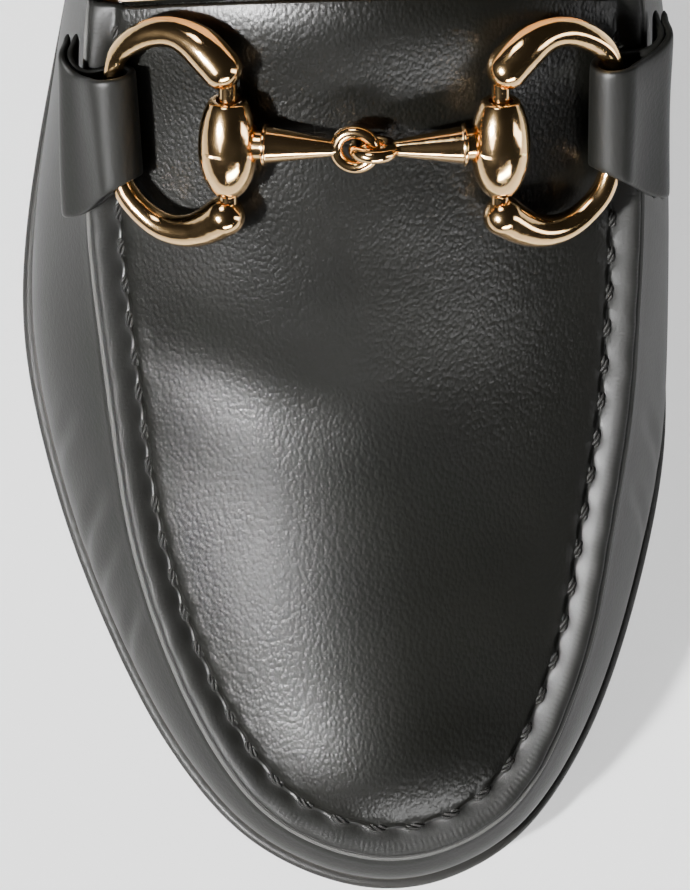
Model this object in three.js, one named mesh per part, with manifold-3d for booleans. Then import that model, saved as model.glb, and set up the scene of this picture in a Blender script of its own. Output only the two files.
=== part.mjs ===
// A bit loafer for the right foot: a black calf moccasin upper on a thin leather sole with a low stacked
// heel, and a gilt snaffle bit across the instep, held by a leather tab at each side.
// Millimetres. The toe points to -Y, the inner side of the foot is at +X, and the shoe stands on Z = 0.
import * as THREE from "three";
import { mergeVertices } from "three/addons/utils/BufferGeometryUtils.js";
import Module from "manifold-3d";

const wasm = await Module();
wasm.setup();

// Driving sizes of the last and sole
const soleLength = 262;
const soleWidth = 89.7;
const soleThickness = 4.2;
const soleEdgeRound = 0.9;
const toeSpring = 8;
const heelRise = 13;
const heelLength = 61.5;
const heelTaper = 1.4;
const leatherLifts = 2;
const topLiftThickness = 4.5;
const breastHollow = 3;
const insoleThickness = 2.4;
const throatHeight = 52;
const seatGap = 0.3;

// Shares of the sole's length where its flat tread begins and ends.
const treadFront = 0.73;
const treadBack = 0.6;

// Leather of the upper
const leatherWall = 2;
const quarterStep = 0.8;
const backStrapHalfTurn = 0.24;
const stepRun = 0.012;
const bindingThickness = 0.9;
const bindingGap = 0.45;
const bindingDepth = 4.5;
const tongueLength = 21;
const tongueTipWidth = 50;
const tongueTipRound = 0.3;
const tongueRise = 0.46;

// The moccasin seam: a raised roll of leather between the wall and the apron.
const throatAlong = 0.535;
const seamWidth = 3.7;
const seamHeight = 1.6;
const seamStartShare = 0.35;

// Bit and tabs
const bitAlong = 0.609;
const eyeHole = 1.55;
const eyeWire = 0.95;
const eyeSpacing = 2.5;
const armReach = 18.25;
const armThin = 1.15;
const armThick = 2.5;
const collarRadius = 2.9;
const collarWidth = 0.45;
const neckRadius = 2.1;
const neckLength = 0.6;
const barrelRadius = 4.05;
const barrelRearRadius = 2.45;
const barrelFrontRadius = 1.75;
const barrelLength = 13.7;
const barrelForward = 0.6;
const pinRadius = 1.25;
const bitClearance = 0.3;
const barrelRise = 1.15;
const barRise = 3.3;
const cheekLength = 28.6;
const cheekReach = 17.35;
const bulbRadius = 2.9;
const tabLeather = 1.1;
const tabSlack = 0.4;
const tabReach = 7.6;
const tabEase = 3.5;
const tabWidth = 15;
const tabBackLateral = 2.9;
const tabBackMedial = 4.4;
const tabFlareRear = 6.5;
const tabFlareFront = 2.5;

// The sole's outline. Widths are shares of soleWidth, measured from the long axis.
const SOLE_OUTLINE = [
  { along: 0, lateral: 0, medial: 0 },
  { along: 0.03, lateral: 0.195, medial: 0.193 },
  { along: 0.07, lateral: 0.281, medial: 0.277 },
  { along: 0.13, lateral: 0.338, medial: 0.332 },
  { along: 0.2, lateral: 0.348, medial: 0.33 },
  { along: 0.28, lateral: 0.352, medial: 0.304 },
  { along: 0.36, lateral: 0.368, medial: 0.296 },
  { along: 0.44, lateral: 0.403, medial: 0.333 },
  { along: 0.52, lateral: 0.442, medial: 0.396 },
  { along: 0.58, lateral: 0.475, medial: 0.436 },
  { along: 0.64, lateral: 0.503, medial: 0.465 },
  { along: 0.7, lateral: 0.511, medial: 0.483 },
  { along: 0.76, lateral: 0.483, medial: 0.487 },
  { along: 0.82, lateral: 0.431, medial: 0.46 },
  { along: 0.87, lateral: 0.371, medial: 0.421 },
  { along: 0.91, lateral: 0.312, medial: 0.378 },
  { along: 0.945, lateral: 0.243, medial: 0.323 },
  { along: 0.975, lateral: 0.155, medial: 0.249 },
  { along: 0.992, lateral: 0.062, medial: 0.167 },
  { along: 1, lateral: -0.056, medial: 0.056 },
];

// The wall's top edge, which is the collar behind the throat and the outer side of the seam in front of it.
// Insets are shares of soleWidth inward from the sole's outline. Heights are shares of throatHeight above
// the sole.
const TOP_EDGE = [
  { along: 0, lateral: 0.089, medial: 0.089, height: 0.894 },
  { along: 0.03, lateral: 0.085, medial: 0.085, height: 0.882 },
  { along: 0.07, lateral: 0.083, medial: 0.081, height: 0.85 },
  { along: 0.13, lateral: 0.084, medial: 0.08, height: 0.785 },
  { along: 0.2, lateral: 0.074, medial: 0.063, height: 0.722 },
  { along: 0.28, lateral: 0.052, medial: 0.02, height: 0.7 },
  { along: 0.36, lateral: 0.038, medial: -0.02, height: 0.74 },
  { along: 0.44, lateral: 0.043, medial: -0.03, height: 0.835 },
  { along: 0.5, lateral: 0.05, medial: -0.027, height: 0.94 },
  { along: 0.535, lateral: 0.058, medial: -0.025, height: 1 },
  { along: 0.58, lateral: 0.08, medial: 0.004, height: 0.905 },
  { along: 0.64, lateral: 0.11, medial: 0.032, height: 0.762 },
  { along: 0.7, lateral: 0.131, medial: 0.055, height: 0.648 },
  { along: 0.76, lateral: 0.125, medial: 0.072, height: 0.545 },
  { along: 0.82, lateral: 0.101, medial: 0.072, height: 0.452 },
  { along: 0.87, lateral: 0.083, medial: 0.06, height: 0.377 },
  { along: 0.91, lateral: 0.073, medial: 0.055, height: 0.318 },
  { along: 0.945, lateral: 0.064, medial: 0.048, height: 0.273 },
  { along: 0.975, lateral: 0.058, medial: 0.05, height: 0.235 },
  { along: 1, lateral: 0.056, medial: 0.056, height: 0.195 },
];

// How the wall stands on the sole and how far it swells low down and high up, as shares of soleWidth.
const WALL_SHAPE = [
  { along: 0, footL: 0.033, footM: 0.033, lowL: 0.058, lowM: 0.058, highL: 0.039, highM: 0.039 },
  { along: 0.13, footL: 0.033, footM: 0.031, lowL: 0.049, lowM: 0.045, highL: 0.025, highM: 0.022 },
  { along: 0.28, footL: 0.031, footM: 0.022, lowL: 0.04, lowM: 0.045, highL: 0.018, highM: 0.022 },
  { along: 0.44, footL: 0.031, footM: 0.013, lowL: 0.045, lowM: 0.09, highL: 0.022, highM: 0.036 },
  { along: 0.53, footL: 0.031, footM: 0.013, lowL: 0.047, lowM: 0.1, highL: 0.034, highM: 0.05 },
  { along: 0.61, footL: 0.034, footM: 0.014, lowL: 0.05, lowM: 0.068, highL: 0.055, highM: 0.058 },
  { along: 0.7, footL: 0.036, footM: 0.02, lowL: 0.051, lowM: 0.047, highL: 0.072, highM: 0.05 },
  { along: 0.82, footL: 0.033, footM: 0.027, lowL: 0.045, lowM: 0.038, highL: 0.051, highM: 0.036 },
  { along: 0.91, footL: 0.031, footM: 0.027, lowL: 0.036, lowM: 0.033, highL: 0.036, highM: 0.029 },
  { along: 1, footL: 0.029, footM: 0.029, lowL: 0.029, lowM: 0.029, highL: 0.025, highM: 0.025 },
];
const lowSwellHeight = 0.32;
const highSwellDepth = 0.3;

// The apron's arch from side to side: its rise over a half width of apronHalf, as a share of apronHalf.
const apronHalf = 0.407 * soleWidth;
const APRON_ARCH = [
  { along: 0.535, arch: 0.35 },
  { along: 0.61, arch: 0.38 },
  { along: 0.69, arch: 0.35 },
  { along: 0.76, arch: 0.34 },
  { along: 0.84, arch: 0.365 },
  { along: 0.91, arch: 0.45 },
  { along: 0.955, arch: 0.58 },
  { along: 1, arch: 0.68 },
];

// The seam's section, from the wall's top edge to the groove beside the apron.
const SEAM_SECTION = [
  { across: 0, raise: 0.8 },
  { across: 0.36, raise: 1 },
  { across: 0.7, raise: 0.6 },
  { across: 1, raise: -0.25 },
  { across: 1.3, raise: 0 },
];

// One cheek of the bit: a horned C from its bulb beside the barrel, round through the tab, to its other
// bulb. Columns are shares of cheekReach, cheekLength and bulbRadius.
const CHEEK = [
  { out: 0.058, back: 0.372, radius: 1 },
  { out: 0.225, back: 0.458, radius: 0.965 },
  { out: 0.421, back: 0.503, radius: 0.77 },
  { out: 0.617, back: 0.49, radius: 0.69 },
  { out: 0.795, back: 0.43, radius: 0.62 },
  { out: 0.922, back: 0.353, radius: 0.52 },
  { out: 0.978, back: 0.27, radius: 0.46 },
  { out: 0.998, back: 0.16, radius: 0.43 },
  { out: 1, back: 0.03, radius: 0.43 },
  { out: 0.99, back: -0.1, radius: 0.44 },
  { out: 0.959, back: -0.234, radius: 0.48 },
  { out: 0.893, back: -0.345, radius: 0.55 },
  { out: 0.786, back: -0.42, radius: 0.58 },
  { out: 0.611, back: -0.486, radius: 0.64 },
  { out: 0.398, back: -0.497, radius: 0.74 },
  { out: 0.202, back: -0.451, radius: 0.86 },
  { out: 0.035, back: -0.376, radius: 0.965 },
];

// Smooth curves

// A smooth curve through the values, with no bend at its two ends.
function smoothCurve(at, value) {
  const count = at.length;
  const bend = new Array(count).fill(0);
  const part = new Array(count).fill(0);
  for (let i = 1; i < count - 1; i++) {
    const span = at[i + 1] - at[i - 1];
    const share = (at[i] - at[i - 1]) / span;
    const before = (value[i] - value[i - 1]) / (at[i] - at[i - 1]);
    const after = (value[i + 1] - value[i]) / (at[i + 1] - at[i]);
    const pivot = share * bend[i - 1] + 2;
    bend[i] = (share - 1) / pivot;
    part[i] = ((6 * (after - before)) / span - share * part[i - 1]) / pivot;
  }
  for (let i = count - 2; i >= 0; i--) bend[i] = bend[i] * bend[i + 1] + part[i];
  return (place) => {
    let low = 0;
    while (low < count - 2 && at[low + 1] < place) low++;
    const span = at[low + 1] - at[low];
    const a = (at[low + 1] - place) / span;
    const b = (place - at[low]) / span;
    const curve = ((a ** 3 - a) * bend[low] + (b ** 3 - b) * bend[low + 1]) * ((span * span) / 6);
    return a * value[low] + b * value[low + 1] + curve;
  };
}

const smoothStep = (t) => t * t * (3 - 2 * t);
const clamp01 = (t) => Math.min(1, Math.max(0, t));
const mix = (a, b, t) => a + (b - a) * t;

// The turn round the shoe: 0 at the heel's back, pi at the toe, by the lateral side, and back by the medial.
const turnOf = (along) => Math.acos(1 - 2 * along);
const alongOf = (turn) => (1 - Math.cos(turn)) / 2;
const fullTurn = 2 * Math.PI;

// A table's lateral and medial columns as one smooth curve round the shoe.
function roundTheShoe(table, lateral, medial, lateralSign = 1) {
  const ring = table.map((row) => [turnOf(row.along), lateralSign * row[lateral]]);
  for (const row of table.slice(1, -1).reverse()) ring.push([fullTurn - turnOf(row.along), row[medial]]);
  const knots = [-1, 0, 1].flatMap((lap) => ring.map(([turn, value]) => [turn + lap * fullTurn, value]));
  return smoothCurve(
    knots.map((knot) => knot[0]),
    knots.map((knot) => knot[1]),
  );
}

const outlineShare = roundTheShoe(SOLE_OUTLINE, "lateral", "medial", -1);
const topInset = roundTheShoe(TOP_EDGE, "lateral", "medial");
const topHeight = roundTheShoe(TOP_EDGE, "height", "height");
const footInset = roundTheShoe(WALL_SHAPE, "footL", "footM");
const lowSwell = roundTheShoe(WALL_SHAPE, "lowL", "lowM");
const highSwell = roundTheShoe(WALL_SHAPE, "highL", "highM");
const archCurve = smoothCurve(
  APRON_ARCH.map((row) => row.along),
  APRON_ARCH.map((row) => row.arch),
);

// The last. Its places are (x, u, z): x towards the big toe, u from the heel's back to the toe, z up.

// A place this far inside the sole's outline.
function insetFrom(turn, inset) {
  const step = 1e-3;
  const x = soleWidth * outlineShare(turn);
  const u = soleLength * alongOf(turn);
  const dx = (soleWidth * (outlineShare(turn + step) - outlineShare(turn - step))) / (2 * step);
  const du = (soleLength * Math.sin(turn)) / 2;
  const size = Math.hypot(dx, du);
  return { x: x + (du / size) * inset, u: u - (dx / size) * inset };
}

// The sole's underside: a flat tread, the toe spring before it, and the arch and heel seat behind it.
function soleBottom(u) {
  const along = u / soleLength;
  const seatFront = heelLength / soleLength;
  if (along > treadFront) return toeSpring * ((along - treadFront) / (1 - treadFront)) ** 2;
  return heelRise * smoothStep(clamp01((treadBack - along) / (treadBack - seatFront)));
}
const soleTop = (u) => soleBottom(u) + soleThickness;

// The wall, from its foot on the sole (rise 0) to the collar or seam (rise 1).
function wallAt(turn, rise) {
  const foot = soleWidth * footInset(turn);
  const top = soleWidth * topInset(turn);
  const low = foot - soleWidth * lowSwell(turn);
  const high = top - soleWidth * highSwell(turn);
  const footZ = soleTop(insetFrom(turn, foot).u) + seatGap;
  const topZ = soleTop(insetFrom(turn, top).u) + throatHeight * topHeight(turn);
  const tall = topZ - footZ;
  const weights = [(1 - rise) ** 3, 3 * rise * (1 - rise) ** 2, 3 * rise * rise * (1 - rise), rise ** 3];
  const blend = (...values) => values.reduce((sum, value, i) => sum + value * weights[i], 0);
  const inset = blend(foot, low, high, top);
  const z = blend(footZ, footZ + lowSwellHeight * tall, topZ - highSwellDepth * tall, topZ);
  return { ...insetFrom(turn, inset), z };
}

// The wall's top edge from throat to toe on one side, by the place along the shoe.
const throatTurn = turnOf(throatAlong);
const frontSpan = Math.PI - throatTurn;
const throatU = soleLength * throatAlong;
function topEdgeOf(side) {
  const steps = 160;
  const line = Array.from({ length: steps + 1 }, (_, i) => {
    const turn = throatTurn + (frontSpan * i) / steps;
    return wallAt(side < 0 ? turn : fullTurn - turn, 1);
  });
  return (u) => {
    let i = 0;
    while (i < steps - 1 && line[i + 1].u < u) i++;
    const t = clamp01((u - line[i].u) / (line[i + 1].u - line[i].u));
    return { x: mix(line[i].x, line[i + 1].x, t), z: mix(line[i].z, line[i + 1].z, t) };
  };
}
const lateralEdge = topEdgeOf(-1);
const medialEdge = topEdgeOf(1);

// The apron is an arch from seam to seam. Behind the throat it runs on up the instep as the tongue.
const archAt = (u) => archCurve(Math.max(throatAlong, u / soleLength)) / apronHalf;
function spineAt(u) {
  const place = Math.max(u, throatU);
  const left = lateralEdge(place);
  const right = medialEdge(place);
  const half = (right.x - left.x) / 2;
  const z = (left.z + right.z) / 2 + archAt(place) * half * half + tongueRise * Math.max(0, throatU - u);
  return { x: (left.x + right.x) / 2, z };
}
function apronZ(x, u) {
  const spine = spineAt(u);
  return spine.z - archAt(u) * (x - spine.x) ** 2;
}

// The upper's outer face in front of the throat, by the turn and the distance inward from the wall's top
// edge. Below zero the distance runs down the wall.
function faceAt(turn, inward) {
  if (inward < 0) {
    const rise = 1 + inward / (wallAt(turn, 1).z - wallAt(turn, 0).z);
    return wallAt(turn, rise);
  }
  const p = insetFrom(turn, soleWidth * topInset(turn) + inward);
  return { ...p, z: apronZ(p.x, p.u) };
}

// A place on the last as a point of the model.
const toModel = (p) => new THREE.Vector3(p.x, soleLength / 2 - p.u, p.z);

// A point this high over the upper's face.
function overFace(turn, inward, height) {
  const step = 0.01;
  const reach = 1.5;
  const along = toModel(faceAt(turn + step, inward)).sub(toModel(faceAt(turn - step, inward)));
  const across = toModel(faceAt(turn, inward + reach)).sub(toModel(faceAt(turn, inward - reach)));
  const normal = along.cross(across).normalize();
  return { at: toModel(faceAt(turn, inward)).addScaledVector(normal, height), normal };
}

// Solids from rows of points

// A closed body with its faces pointing out.
function bodyOf(points, triangles) {
  const kept = [];
  let volume = 0;
  for (let i = 0; i < triangles.length; i += 3) {
    const [a, b, c] = triangles.slice(i, i + 3);
    if (a === b || b === c || a === c) continue;
    kept.push(a, b, c);
    volume += points[a].dot(points[b].clone().cross(points[c]));
  }
  if (volume < 0) {
    for (let i = 0; i < kept.length; i += 3) [kept[i + 1], kept[i + 2]] = [kept[i + 2], kept[i + 1]];
  }
  const geometry = new THREE.BufferGeometry().setFromPoints(points);
  geometry.setIndex(kept);
  geometry.computeVertexNormals();
  return geometry;
}

// Two triangles for each cell between neighbouring lists of point numbers.
function cellsOf(lists, closed = false) {
  const triangles = [];
  for (let r = 0; r + 1 < lists.length; r++) {
    const count = lists[r].length;
    for (let c = 0; c < (closed ? count : count - 1); c++) {
      const next = (c + 1) % count;
      triangles.push(lists[r][c], lists[r + 1][c], lists[r + 1][next]);
      triangles.push(lists[r][c], lists[r + 1][next], lists[r][next]);
    }
  }
  return triangles;
}

// A skin behind an open surface: its front is raised by each point's own amount, and its rims are closed.
function shellOf(points, triangles, raises, thickness) {
  const front = [];
  for (let i = 0; i < triangles.length; i += 3) {
    const [a, b, c] = triangles.slice(i, i + 3);
    if (a !== b && b !== c && a !== c) front.push(a, b, c);
  }
  const surface = new THREE.BufferGeometry().setFromPoints(points);
  surface.setIndex(front);
  surface.computeVertexNormals();
  const facing = surface.attributes.normal;
  const normals = points.map((_, i) => new THREE.Vector3().fromBufferAttribute(facing, i));
  const outer = points.map((p, i) => p.clone().addScaledVector(normals[i], raises[i]));
  const inner = points.map((p, i) => p.clone().addScaledVector(normals[i], -thickness));
  const rim = new Map();
  for (let i = 0; i < front.length; i += 3)
    for (let k = 0; k < 3; k++) {
      const [a, b] = [front[i + k], front[i + ((k + 1) % 3)]];
      if (!rim.delete(`${b},${a}`)) rim.set(`${a},${b}`, [a, b]);
    }
  const count = points.length;
  const all = front.slice();
  for (let i = 0; i < front.length; i += 3) {
    all.push(front[i] + count, front[i + 2] + count, front[i + 1] + count);
  }
  for (const [a, b] of rim.values()) all.push(b, a, a + count, b, a + count, b + count);
  return bodyOf([...outer, ...inner], all);
}

// Points near one plane as flat coordinates in it.
function flattened(points) {
  const start = points[0];
  const first = points[1].clone().sub(start).normalize();
  let normal = new THREE.Vector3();
  for (const p of points) {
    const turn = first.clone().cross(p.clone().sub(start));
    if (turn.length() > normal.length()) normal = turn;
  }
  const second = normal.normalize().cross(first);
  const away = points.map((p) => p.clone().sub(start));
  return away.map((p) => new THREE.Vector2(p.dot(first), p.dot(second)));
}

// A bar through matching closed sections, each an outline and any holes, with flat faces at its two ends.
function barOf(sections) {
  const points = [];
  const triangles = [];
  const numbered = (loop) => loop.map((p) => points.push(p) - 1);
  const loops = sections[0].map((_, k) => sections.map((section) => numbered(section[k])));
  loops.forEach((lists, k) => triangles.push(...cellsOf(k === 0 ? lists : lists.slice().reverse(), true)));
  const edges = new Set();
  for (let i = 0; i < triangles.length; i += 3)
    for (let k = 0; k < 3; k++) edges.add(`${triangles[i + k]},${triangles[i + ((k + 1) % 3)]}`);
  for (const end of [0, sections.length - 1]) {
    const rims = loops.map((lists) => lists[end]);
    const numbers = rims.flat();
    const flat = flattened(numbers.map((i) => points[i]));
    const flatRims = rims.map((rim) => rim.map((i) => flat[numbers.indexOf(i)]));
    const faces = THREE.ShapeUtils.triangulateShape(flatRims[0], flatRims.slice(1));
    const cap = faces.map((face) => face.map((i) => numbers[i]));
    const runs = (a, b) => edges.has(`${a},${b}`);
    const along = cap.some(([a, b, c]) => runs(a, b) || runs(b, c) || runs(c, a));
    for (const [a, b, c] of cap) triangles.push(...(along ? [a, c, b] : [a, b, c]));
  }
  return bodyOf(points, triangles);
}

// A slab between rings that go once round the shoe. Its faces run straight across from side to side.
function slabOf(rings) {
  const points = [];
  const lists = rings.map((ring) => ring.map((p) => points.push(p) - 1));
  const triangles = cellsOf(lists, true);
  const count = rings[0].length;
  const face = (list, over) => {
    for (let i = 0; i < count / 2; i++) {
      const quad = [list[i], list[i + 1], list[count - i - 1], list[(count - i) % count]];
      const [a, b, c, d] = over ? quad.reverse() : quad;
      triangles.push(a, b, c, a, c, d);
    }
  };
  face(lists[0], false);
  face(lists[lists.length - 1], true);
  return bodyOf(points, triangles);
}

// manifold-3d solids, for joining and cutting.
function solidOf(geometry) {
  const bare = new THREE.BufferGeometry().setAttribute("position", geometry.getAttribute("position"));
  if (geometry.index) bare.setIndex(geometry.index);
  const merged = mergeVertices(bare, 1e-4);
  return new wasm.Manifold(
    new wasm.Mesh({
      numProp: 3,
      vertProperties: new Float32Array(merged.attributes.position.array),
      triVerts: new Uint32Array(merged.index.array),
    }),
  );
}
function geometryFrom(solid) {
  const mesh = solid.getMesh();
  const geometry = new THREE.BufferGeometry();
  geometry.setAttribute("position", new THREE.BufferAttribute(new Float32Array(mesh.vertProperties), 3));
  geometry.setIndex(new THREE.BufferAttribute(new Uint32Array(mesh.triVerts), 1));
  geometry.computeVertexNormals();
  return geometry;
}

// The model's pieces and leathers
const shoe = new THREE.Group();
const calf = new THREE.MeshStandardMaterial({ color: 0x14130f, roughness: 0.42, metalness: 0 });
const soleLeather = new THREE.MeshStandardMaterial({ color: 0x1d1a17, roughness: 0.5, metalness: 0 });
const rubber = new THREE.MeshStandardMaterial({ color: 0x111111, roughness: 0.8, metalness: 0 });
const lining = new THREE.MeshStandardMaterial({ color: 0x9a7a56, roughness: 0.6, metalness: 0 });
const gilt = new THREE.MeshStandardMaterial({ color: 0xd9a766, roughness: 0.12, metalness: 1 });

function addPiece(parent, name, geometry, material) {
  const mesh = new THREE.Mesh(geometry, material);
  mesh.name = name;
  parent.add(mesh);
}

// The upper is one hollow skin of leather: the wall, the seam's roll, the apron and the tongue. It is open
// at the collar and underneath, and steps up where the quarter laps the wall and at the back strap.
const wallRises = [0, 0.12, 0.26, 0.42, 0.58, 0.74, 0.88, 0.97, 1];
const frontColumns = 44;
const quarterColumns = 13;
const strapColumns = 7;
const apronRows = 6;
const tongueRows = 4;
const seamEndTurn = 0.15;

const evenly = (from, to, count) => Array.from({ length: count }, (_, i) => mix(from, to, i / (count - 1)));

// The quarter's and back strap's height over the wall.
function stepAt(turn) {
  if (Math.abs(turn) <= backStrapHalfTurn) return 2 * quarterStep;
  return Math.abs(turn) < throatTurn ? quarterStep : 0;
}

// The wall's columns behind the throat, from the medial side round the heel to the lateral side.
const quarterEnd = throatTurn - stepRun;
const strapStart = backStrapHalfTurn + stepRun;
const rearTurns = [
  ...evenly(-quarterEnd, -strapStart, quarterColumns),
  ...evenly(-backStrapHalfTurn, backStrapHalfTurn, strapColumns),
  ...evenly(strapStart, quarterEnd, quarterColumns),
];

function makeUpper() {
  const points = [];
  const raises = [];
  const triangles = [];
  const add = (p, raise) => {
    points.push(toModel(p));
    raises.push(raise);
    return points.length - 1;
  };

  const frontTurns = evenly(throatTurn, fullTurn - throatTurn, frontColumns + 1);

  // The seam dies out towards the throat.
  const seamRaise = (turn, share) => {
    const fromEnd = Math.min(turn - throatTurn, fullTurn - throatTurn - turn);
    return share * seamHeight * smoothStep(clamp01(seamStartShare + fromEnd / seamEndTurn));
  };
  const edgeRaise = (turn, rise) => (rise === 1 ? seamRaise(turn, SEAM_SECTION[0].raise) : 0);
  const frontWall = frontTurns.map((turn) =>
    wallRises.map((rise) => add(wallAt(turn, rise), edgeRaise(turn, rise))),
  );
  const rearWall = rearTurns.map((turn) =>
    wallRises.map((rise) => add(wallAt(turn, rise), rise > 0 ? stepAt(turn) : 0)),
  );
  triangles.push(...cellsOf([...frontWall, ...rearWall, frontWall[0]]));

  // The apron's lines run from the groove to the middle line, and draw together towards the toe.
  const grooveAt = (turn) => faceAt(turn, seamWidth * SEAM_SECTION[SEAM_SECTION.length - 1].across);
  const throatGroove = (grooveAt(throatTurn).u + grooveAt(fullTurn - throatTurn).u) / 2;
  const toeGroove = grooveAt(Math.PI).u;
  const middleEnd = toeGroove - apronHalf / 2;
  const middleShare = (middleEnd - throatGroove) / (toeGroove - throatGroove);
  const middle = [];
  const seam = frontTurns.map((turn, i) => {
    const list = [frontWall[i][wallRises.length - 1]];
    for (const row of SEAM_SECTION.slice(1))
      list.push(add(faceAt(turn, seamWidth * row.across), seamRaise(turn, row.raise)));
    const groove = grooveAt(turn);
    const grooveU = (groove.u + grooveAt(fullTurn - turn).u) / 2;
    const middleU = mix(throatGroove, grooveU, middleShare);
    const middleX = spineAt(middleU).x;
    for (let r = 1; r < apronRows; r++) {
      const x = mix(groove.x, middleX, r / apronRows);
      const u = mix(groove.u, middleU, r / apronRows);
      list.push(add({ x, u, z: apronZ(x, u) }, 0));
    }
    const mirror = frontColumns - i;
    middle[i] = mirror < i ? middle[mirror] : add({ x: middleX, u: middleU, z: spineAt(middleU).z }, 0);
    return [...list, middle[i]];
  });
  triangles.push(...cellsOf(seam));

  // The tongue goes on behind the apron's last line across.
  const tongueStart = SEAM_SECTION.length - 1;
  const across = [...seam[0].slice(tongueStart), ...seam[frontColumns].slice(tongueStart, -1).reverse()];
  const line = across.map((number) => points[number].clone());
  const centre = spineAt(throatU).x;
  const half = (line[line.length - 1].x - line[0].x) / 2;
  const tongue = [across];
  for (let r = 1; r <= tongueRows; r++) {
    const t = r / tongueRows;
    const narrowing = mix(1, tongueTipWidth / 2 / half, smoothStep(t));
    tongue.push(
      line.map((p) => {
        const corner = (Math.abs(p.x - centre) / half) ** 4;
        const x = centre + (p.x - centre) * narrowing;
        const u = soleLength / 2 - p.y - tongueLength * t * (1 - tongueTipRound * t * corner);
        return add({ x, u, z: apronZ(x, u) }, 0);
      }),
    );
  }
  triangles.push(...cellsOf(tongue.reverse()));
  return shellOf(points, triangles, raises, leatherWall);
}
addPiece(shoe, "upper", makeUpper(), calf);

// A narrow folded strip binds the collar from throat to throat.
function makeBinding() {
  const out = bindingGap + bindingThickness;
  const fold = { across: 0.4 * out, over: 0.8 * out };
  const justBelow = 0.96;
  const section = (turn) => {
    const at = toModel(wallAt(turn, 1));
    const up = at.clone().sub(toModel(wallAt(turn, justBelow))).normalize();
    const along = toModel(wallAt(turn + stepRun, 1)).sub(toModel(wallAt(turn - stepRun, 1)));
    const normal = along.cross(up).normalize();
    const face = stepAt(turn);
    const back = -leatherWall;
    const rows = [
      [face + out, -bindingDepth],
      [face + out, 0],
      [face + fold.across, fold.over],
      [(face + back) / 2, out],
      [back - fold.across, fold.over],
      [back - out, 0],
      [back - out, -bindingDepth],
      [back - bindingGap, -bindingDepth],
      [back - bindingGap, bindingGap],
      [face + bindingGap, bindingGap],
      [face + bindingGap, -bindingDepth],
    ];
    const place = ([across, over]) => at.clone().addScaledVector(normal, across).addScaledVector(up, over);
    return [rows.map(place)];
  };
  const end = quarterEnd - stepRun;
  const turns = [-end, ...rearTurns.slice(1, -1), end];
  return barOf(turns.map(section));
}
addPiece(shoe, "collar_binding", makeBinding(), calf);

// The outsole is one leather slab with a rounded edge.
const ringTurns = evenly(0, fullTurn, 73).slice(0, -1);
const ringOf = (inset, height) =>
  ringTurns.map((turn) => {
    const p = insetFrom(turn, inset(turn));
    return toModel({ ...p, z: height(p.u) });
  });
function makeOutsole() {
  const edge = [
    { inset: soleEdgeRound, height: 0 },
    { inset: 0, height: soleEdgeRound },
    { inset: 0, height: soleThickness - soleEdgeRound },
    { inset: 0.7 * soleEdgeRound, height: soleThickness },
  ];
  return slabOf(edge.map((row) => ringOf(() => row.inset, (u) => soleBottom(u) + row.height)));
}
addPiece(shoe, "outsole", makeOutsole(), soleLeather);

// The insole's sock lies on the outsole, inside the wall.
function makeInsole() {
  const inset = (turn) => soleWidth * footInset(turn) + leatherWall + 2 * seatGap;
  const low = (u) => soleTop(u) + seatGap;
  return slabOf([ringOf(inset, low), ringOf(inset, (u) => low(u) + insoleThickness)]);
}
addPiece(shoe, "insole", makeInsole(), lining);

// The heel is leather lifts and a rubber top lift, tapering to the ground, with a hollow breast.
function heelRing(inset, z) {
  const breastTurn = turnOf((heelLength - breastHollow) / soleLength);
  const arc = evenly(-breastTurn, breastTurn, 27).map((turn) => ({ ...insetFrom(turn, inset), z }));
  const [from, to] = [arc[arc.length - 1], arc[0]];
  const breast = evenly(0, 1, 9).slice(1, -1);
  const hollow = breast.map((t) => {
    const bow = 4 * t * (1 - t);
    return { x: mix(from.x, to.x, t), u: mix(from.u, to.u, t) - breastHollow * bow, z };
  });
  return [...arc, ...hollow].map(toModel);
}
const liftThickness = (heelRise - topLiftThickness) / leatherLifts;
const heelInset = (z) => soleEdgeRound + heelTaper * (1 - z / heelRise);
const makeLift = (low, high) => barOf([low, high].map((z) => [heelRing(heelInset(z), z)]));
addPiece(shoe, "top_lift", makeLift(0, topLiftThickness - seatGap), rubber);
for (let i = 0; i < leatherLifts; i++) {
  const low = topLiftThickness + i * liftThickness;
  addPiece(shoe, `heel_lift_${i + 1}`, makeLift(low, low + liftThickness - seatGap), soleLeather);
}

// The bit: two cheeks that swivel on the barrels of a mouth in two halves, joined by their eyes.
const bitU = soleLength * bitAlong;
const eyeOuter = eyeHole + 2 * eyeWire;
const slopeSpan = 6;
const bitSlope = Math.atan((spineAt(bitU - slopeSpan).z - spineAt(bitU + slopeSpan).z) / (2 * slopeSpan));
const bit = new THREE.Group();
bit.position.copy(toModel({ ...spineAt(bitU), u: bitU }));
bit.rotation.x = bitSlope;
bit.translateZ(eyeOuter + 2 * bitClearance);
shoe.add(bit);

// The arms and cheeks follow the apron's arch. barrelRise and barRise are how much higher over the apron the
// barrels and the cheeks' outer bars lie than the eyes.
const bitArch = archAt(bitU);
const barrelDrop = bitArch * armReach ** 2 - barrelRise;
const barDrop = bitArch * (armReach + cheekReach) ** 2 - barRise;
const armDroop = Math.atan(barrelDrop / armReach);
const cheekFold = Math.asin((barDrop - barrelDrop) / cheekReach) - armDroop;

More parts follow.
